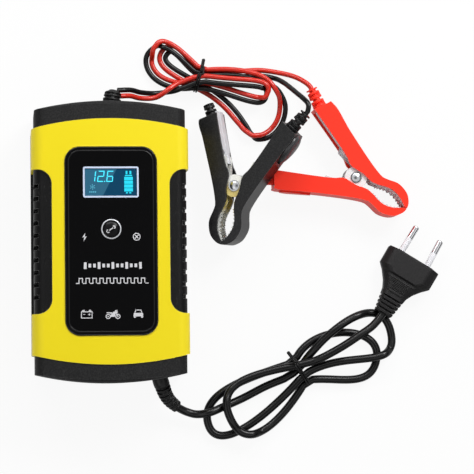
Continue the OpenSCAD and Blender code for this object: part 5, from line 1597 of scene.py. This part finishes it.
def gilded_part(jaw):
    """Function that makes the mask of a jaw's yellow part in a material's tree."""
    along = BLACK_CLAMP.spin.col[1]
    in_piece = jaw.matrix_world.to_3x3().transposed() @ along
    start = (jaw.matrix_world.translation - BLACK_CLAMP.pivot * MM).dot(along)

    def mask(tree):
        reach = dot_product(tree, object_place(tree), tuple(in_piece))
        from_pivot = maths(tree, "ADD", reach, start)
        below = maths(tree, "SUBTRACT", GILDED_FROM * MM, from_pivot)
        above = maths(tree, "ADD", from_pivot, GILDED_TO * MM)
        below, above = (maths(tree, "MULTIPLY", part, FADE_PER_METRE, True) for part in (below, above))
        return maths(tree, "MULTIPLY", maths(tree, "MULTIPLY", below, above), GILDED_SHARE)

    return mask


def gilded(name, jaw):
    return finish(name, linear("#FAFAF4"), rough=0.26, relief=0.06, depth=0.004, metal=0.12,
                  marks_amount=0.5, edge=1.0, edge_radius=0.35, rim=DARK_EDGE_REFLECTION,
                  tint=(linear("#D8BE4A"), gilded_part(jaw)))


nodes = frame["nodes"]
SPECIAL_NODES = {
    "red_rivet": LOOKS["rivet_steel"],
    "black_rivet": LOOKS["rivet_steel"],
    "black_cord_jaw": gilded("gilded jaw cord", nodes["black_cord_jaw"]),
    "black_free_jaw": gilded("gilded jaw free", nodes["black_free_jaw"]),
}
print("nodes with a look of their own:", ", ".join(SPECIAL_NODES))

# %% [markdown]
# Every CAD node comes with a material that bears the name of its slot in the record. That name picks
# the finish. The pieces made above bring theirs along.

# %% Put the finishes on
for node, piece in nodes.items():
    slot = piece.data.materials[0].name.split(".")[0]
    for i in range(len(piece.material_slots)):
        piece.material_slots[i].material = SPECIAL_NODES.get(node, FINISHES[slot])
for cord, slot in ((mains_cord, "cord_black"), (red_cord, "cord_red"), (black_cord, "cord_black")):
    cord.data.materials.append(FINISHES[slot])
for piece, look in DETAILS:
    piece.data.materials.append(LOOKS[look] if look in LOOKS else FINISHES[look])
print(len(FINISHES) + len(LOOKS), "finishes on", len(nodes), "nodes and", len(DETAILS) + 3, "pieces")

# %% [markdown]
# ## The stage
# A pale floor carries the shadow, and the room around it is an even white, darker overhead so that
# the tops of things keep their colour. Metal needs something dark to reflect, so mirrored rays meet
# another room, with a dark band and a bright ring above it. What the camera sees of floor and room is
# lifted to white by Light Path, without more light on the object.

# %% Floor
FLOOR_HALF, FLOOR_DROP, FLOOR_LIFT, FLOOR_ROUGHNESS, FLOOR_GLOSS = 3.0, 0.0002, 0.92, 0.9, 0.1
WHITE, FLOOR_PAINT, MIRRORED_FLOOR = (1.0, 1.0, 1.0, 1.0), (0.8, 0.8, 0.8, 1.0), (0.6, 0.6, 0.6, 1.0)


def stage_material(name, colour, lift):
    """Matt stage paint that looks lifted towards white to the camera and in reflections."""
    made = bpy.data.materials.new(name)
    made.use_nodes = True
    tree = made.node_tree
    paint = tree.nodes["Principled BSDF"]
    paint.inputs["Base Color"].default_value = colour
    paint.inputs["Roughness"].default_value = FLOOR_ROUGHNESS
    paint.inputs["Specular IOR Level"].default_value = FLOOR_GLOSS
    path = tree.nodes.new("ShaderNodeLightPath").outputs
    seen = maths(tree, "MAXIMUM", path["Is Camera Ray"], path["Is Glossy Ray"])
    light = blended(tree, path["Is Glossy Ray"], WHITE, MIRRORED_FLOOR)
    glow = place(tree, "ShaderNodeEmission", Color=light, Strength=1.0)
    share = maths(tree, "MULTIPLY", seen, lift)
    both = place(tree, "ShaderNodeMixShader", i0=share, i1=paint.outputs[0], i2=glow.outputs[0])
    tree.links.new(both.outputs[0], tree.nodes["Material Output"].inputs["Surface"])
    return made


corners = [(x * FLOOR_HALF, y * FLOOR_HALF, -FLOOR_DROP) for x, y in ((-1, -1), (1, -1), (1, 1), (-1, 1))]
floor_mesh = bpy.data.meshes.new("floor")
floor_mesh.from_pydata(corners, [], [(0, 1, 2, 3)])
floor_mesh.materials.append(stage_material("floor paint", FLOOR_PAINT, FLOOR_LIFT))
floor_piece = bpy.data.objects.new("floor", floor_mesh)
bpy.context.collection.objects.link(floor_piece)
floor_piece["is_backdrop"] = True
print("floor of", 2 * FLOOR_HALF, "m")

# %% [markdown]
# The room is two ramps from the horizon up. The even one lights the object: bright at the sides and
# darker overhead. The mirrored one is what gloss and metal show: a grey horizon, a dark band, and a
# bright ring below a dark zenith, which keeps the gloss panel black when it is seen from above.

# %% Room light
EVEN_ROOM = [(0.1, 0.8), (0.85, 0.3)]
MIRRORED_ROOM = [(0.0, 0.3), (0.1, 0.3), (0.18, 0.05), (0.58, 0.05), (0.64, 1.0), (0.93, 0.9), (0.972, 0.08)]
world = bpy.data.worlds.new("room")
bpy.context.scene.world = world
world.use_nodes = True
tree = world.node_tree
ways = tree.nodes.new("ShaderNodeTexCoord").outputs["Generated"]
upward = place(tree, "ShaderNodeSeparateXYZ", Vector=ways).outputs["Z"]


def grey_ramp(stops):
    """Grey from the horizon upwards, given as heights and greys."""
    ramp = place(tree, "ShaderNodeValToRGB", Fac=upward)
    for i, (position, grey) in enumerate(stops):
        mark = ramp.color_ramp.elements[i] if i < 2 else ramp.color_ramp.elements.new(position)
        mark.position = position
        mark.color = (grey, grey, grey, 1.0)
    return ramp.outputs[0]


path = tree.nodes.new("ShaderNodeLightPath").outputs
by_ray = blended(tree, path["Is Glossy Ray"], grey_ramp(EVEN_ROOM), grey_ramp(MIRRORED_ROOM))
sky = tree.nodes["Background"]
tree.links.new(blended(tree, path["Is Camera Ray"], by_ray, WHITE), sky.inputs["Color"])
sky.inputs["Strength"].default_value = 1.0
print("room with ramps of", len(EVEN_ROOM), "and", len(MIRRORED_ROOM), "stops")

# %% [markdown]
# Three softboxes do the rest: a key light from the head of the case on the right, a weak fill from
# the other side, and a low strip that draws a line of light along rounded edges.

# %% Lamps
LAMPS_AIM = Vector((0.07, 0.0, 0.0))
# name, place in metres, the two sides in metres, power in watts
LAMPS = (
    ("key softbox", (0.65, 0.75, 0.85), (0.5, 0.5), 10.2),
    ("fill softbox", (-0.9, -0.6, 1.0), (0.9, 0.9), 1.6),
    ("top strip", (-0.1, 0.8, 0.6), (0.9, 0.2), 4.5),
)
for name, place_at, size, power in LAMPS:
    lamp = bpy.data.lights.new(name, "AREA")
    lamp.shape = "RECTANGLE"
    lamp.size, lamp.size_y = size
    lamp.energy = power
    holder = bpy.data.objects.new(name, lamp)
    holder.location = place_at
    holder.rotation_euler = (Vector(place_at) - LAMPS_AIM).to_track_quat("Z", "Y").to_euler()
    bpy.context.collection.objects.link(holder)
print("stage with", len(LAMPS), "lamps")

# %% Compare the boxes and finish
scene = bpy.context.scene
scene.view_settings.view_transform = "Standard"
dressed_box = [[float(c) for c in corner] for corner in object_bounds()]
grown_by = [[round((d - c) / MM, 2) for c, d in zip(cs, ds)] for cs, ds in zip(cad_box, dressed_box)]
print("grown by in mm:", grown_by)
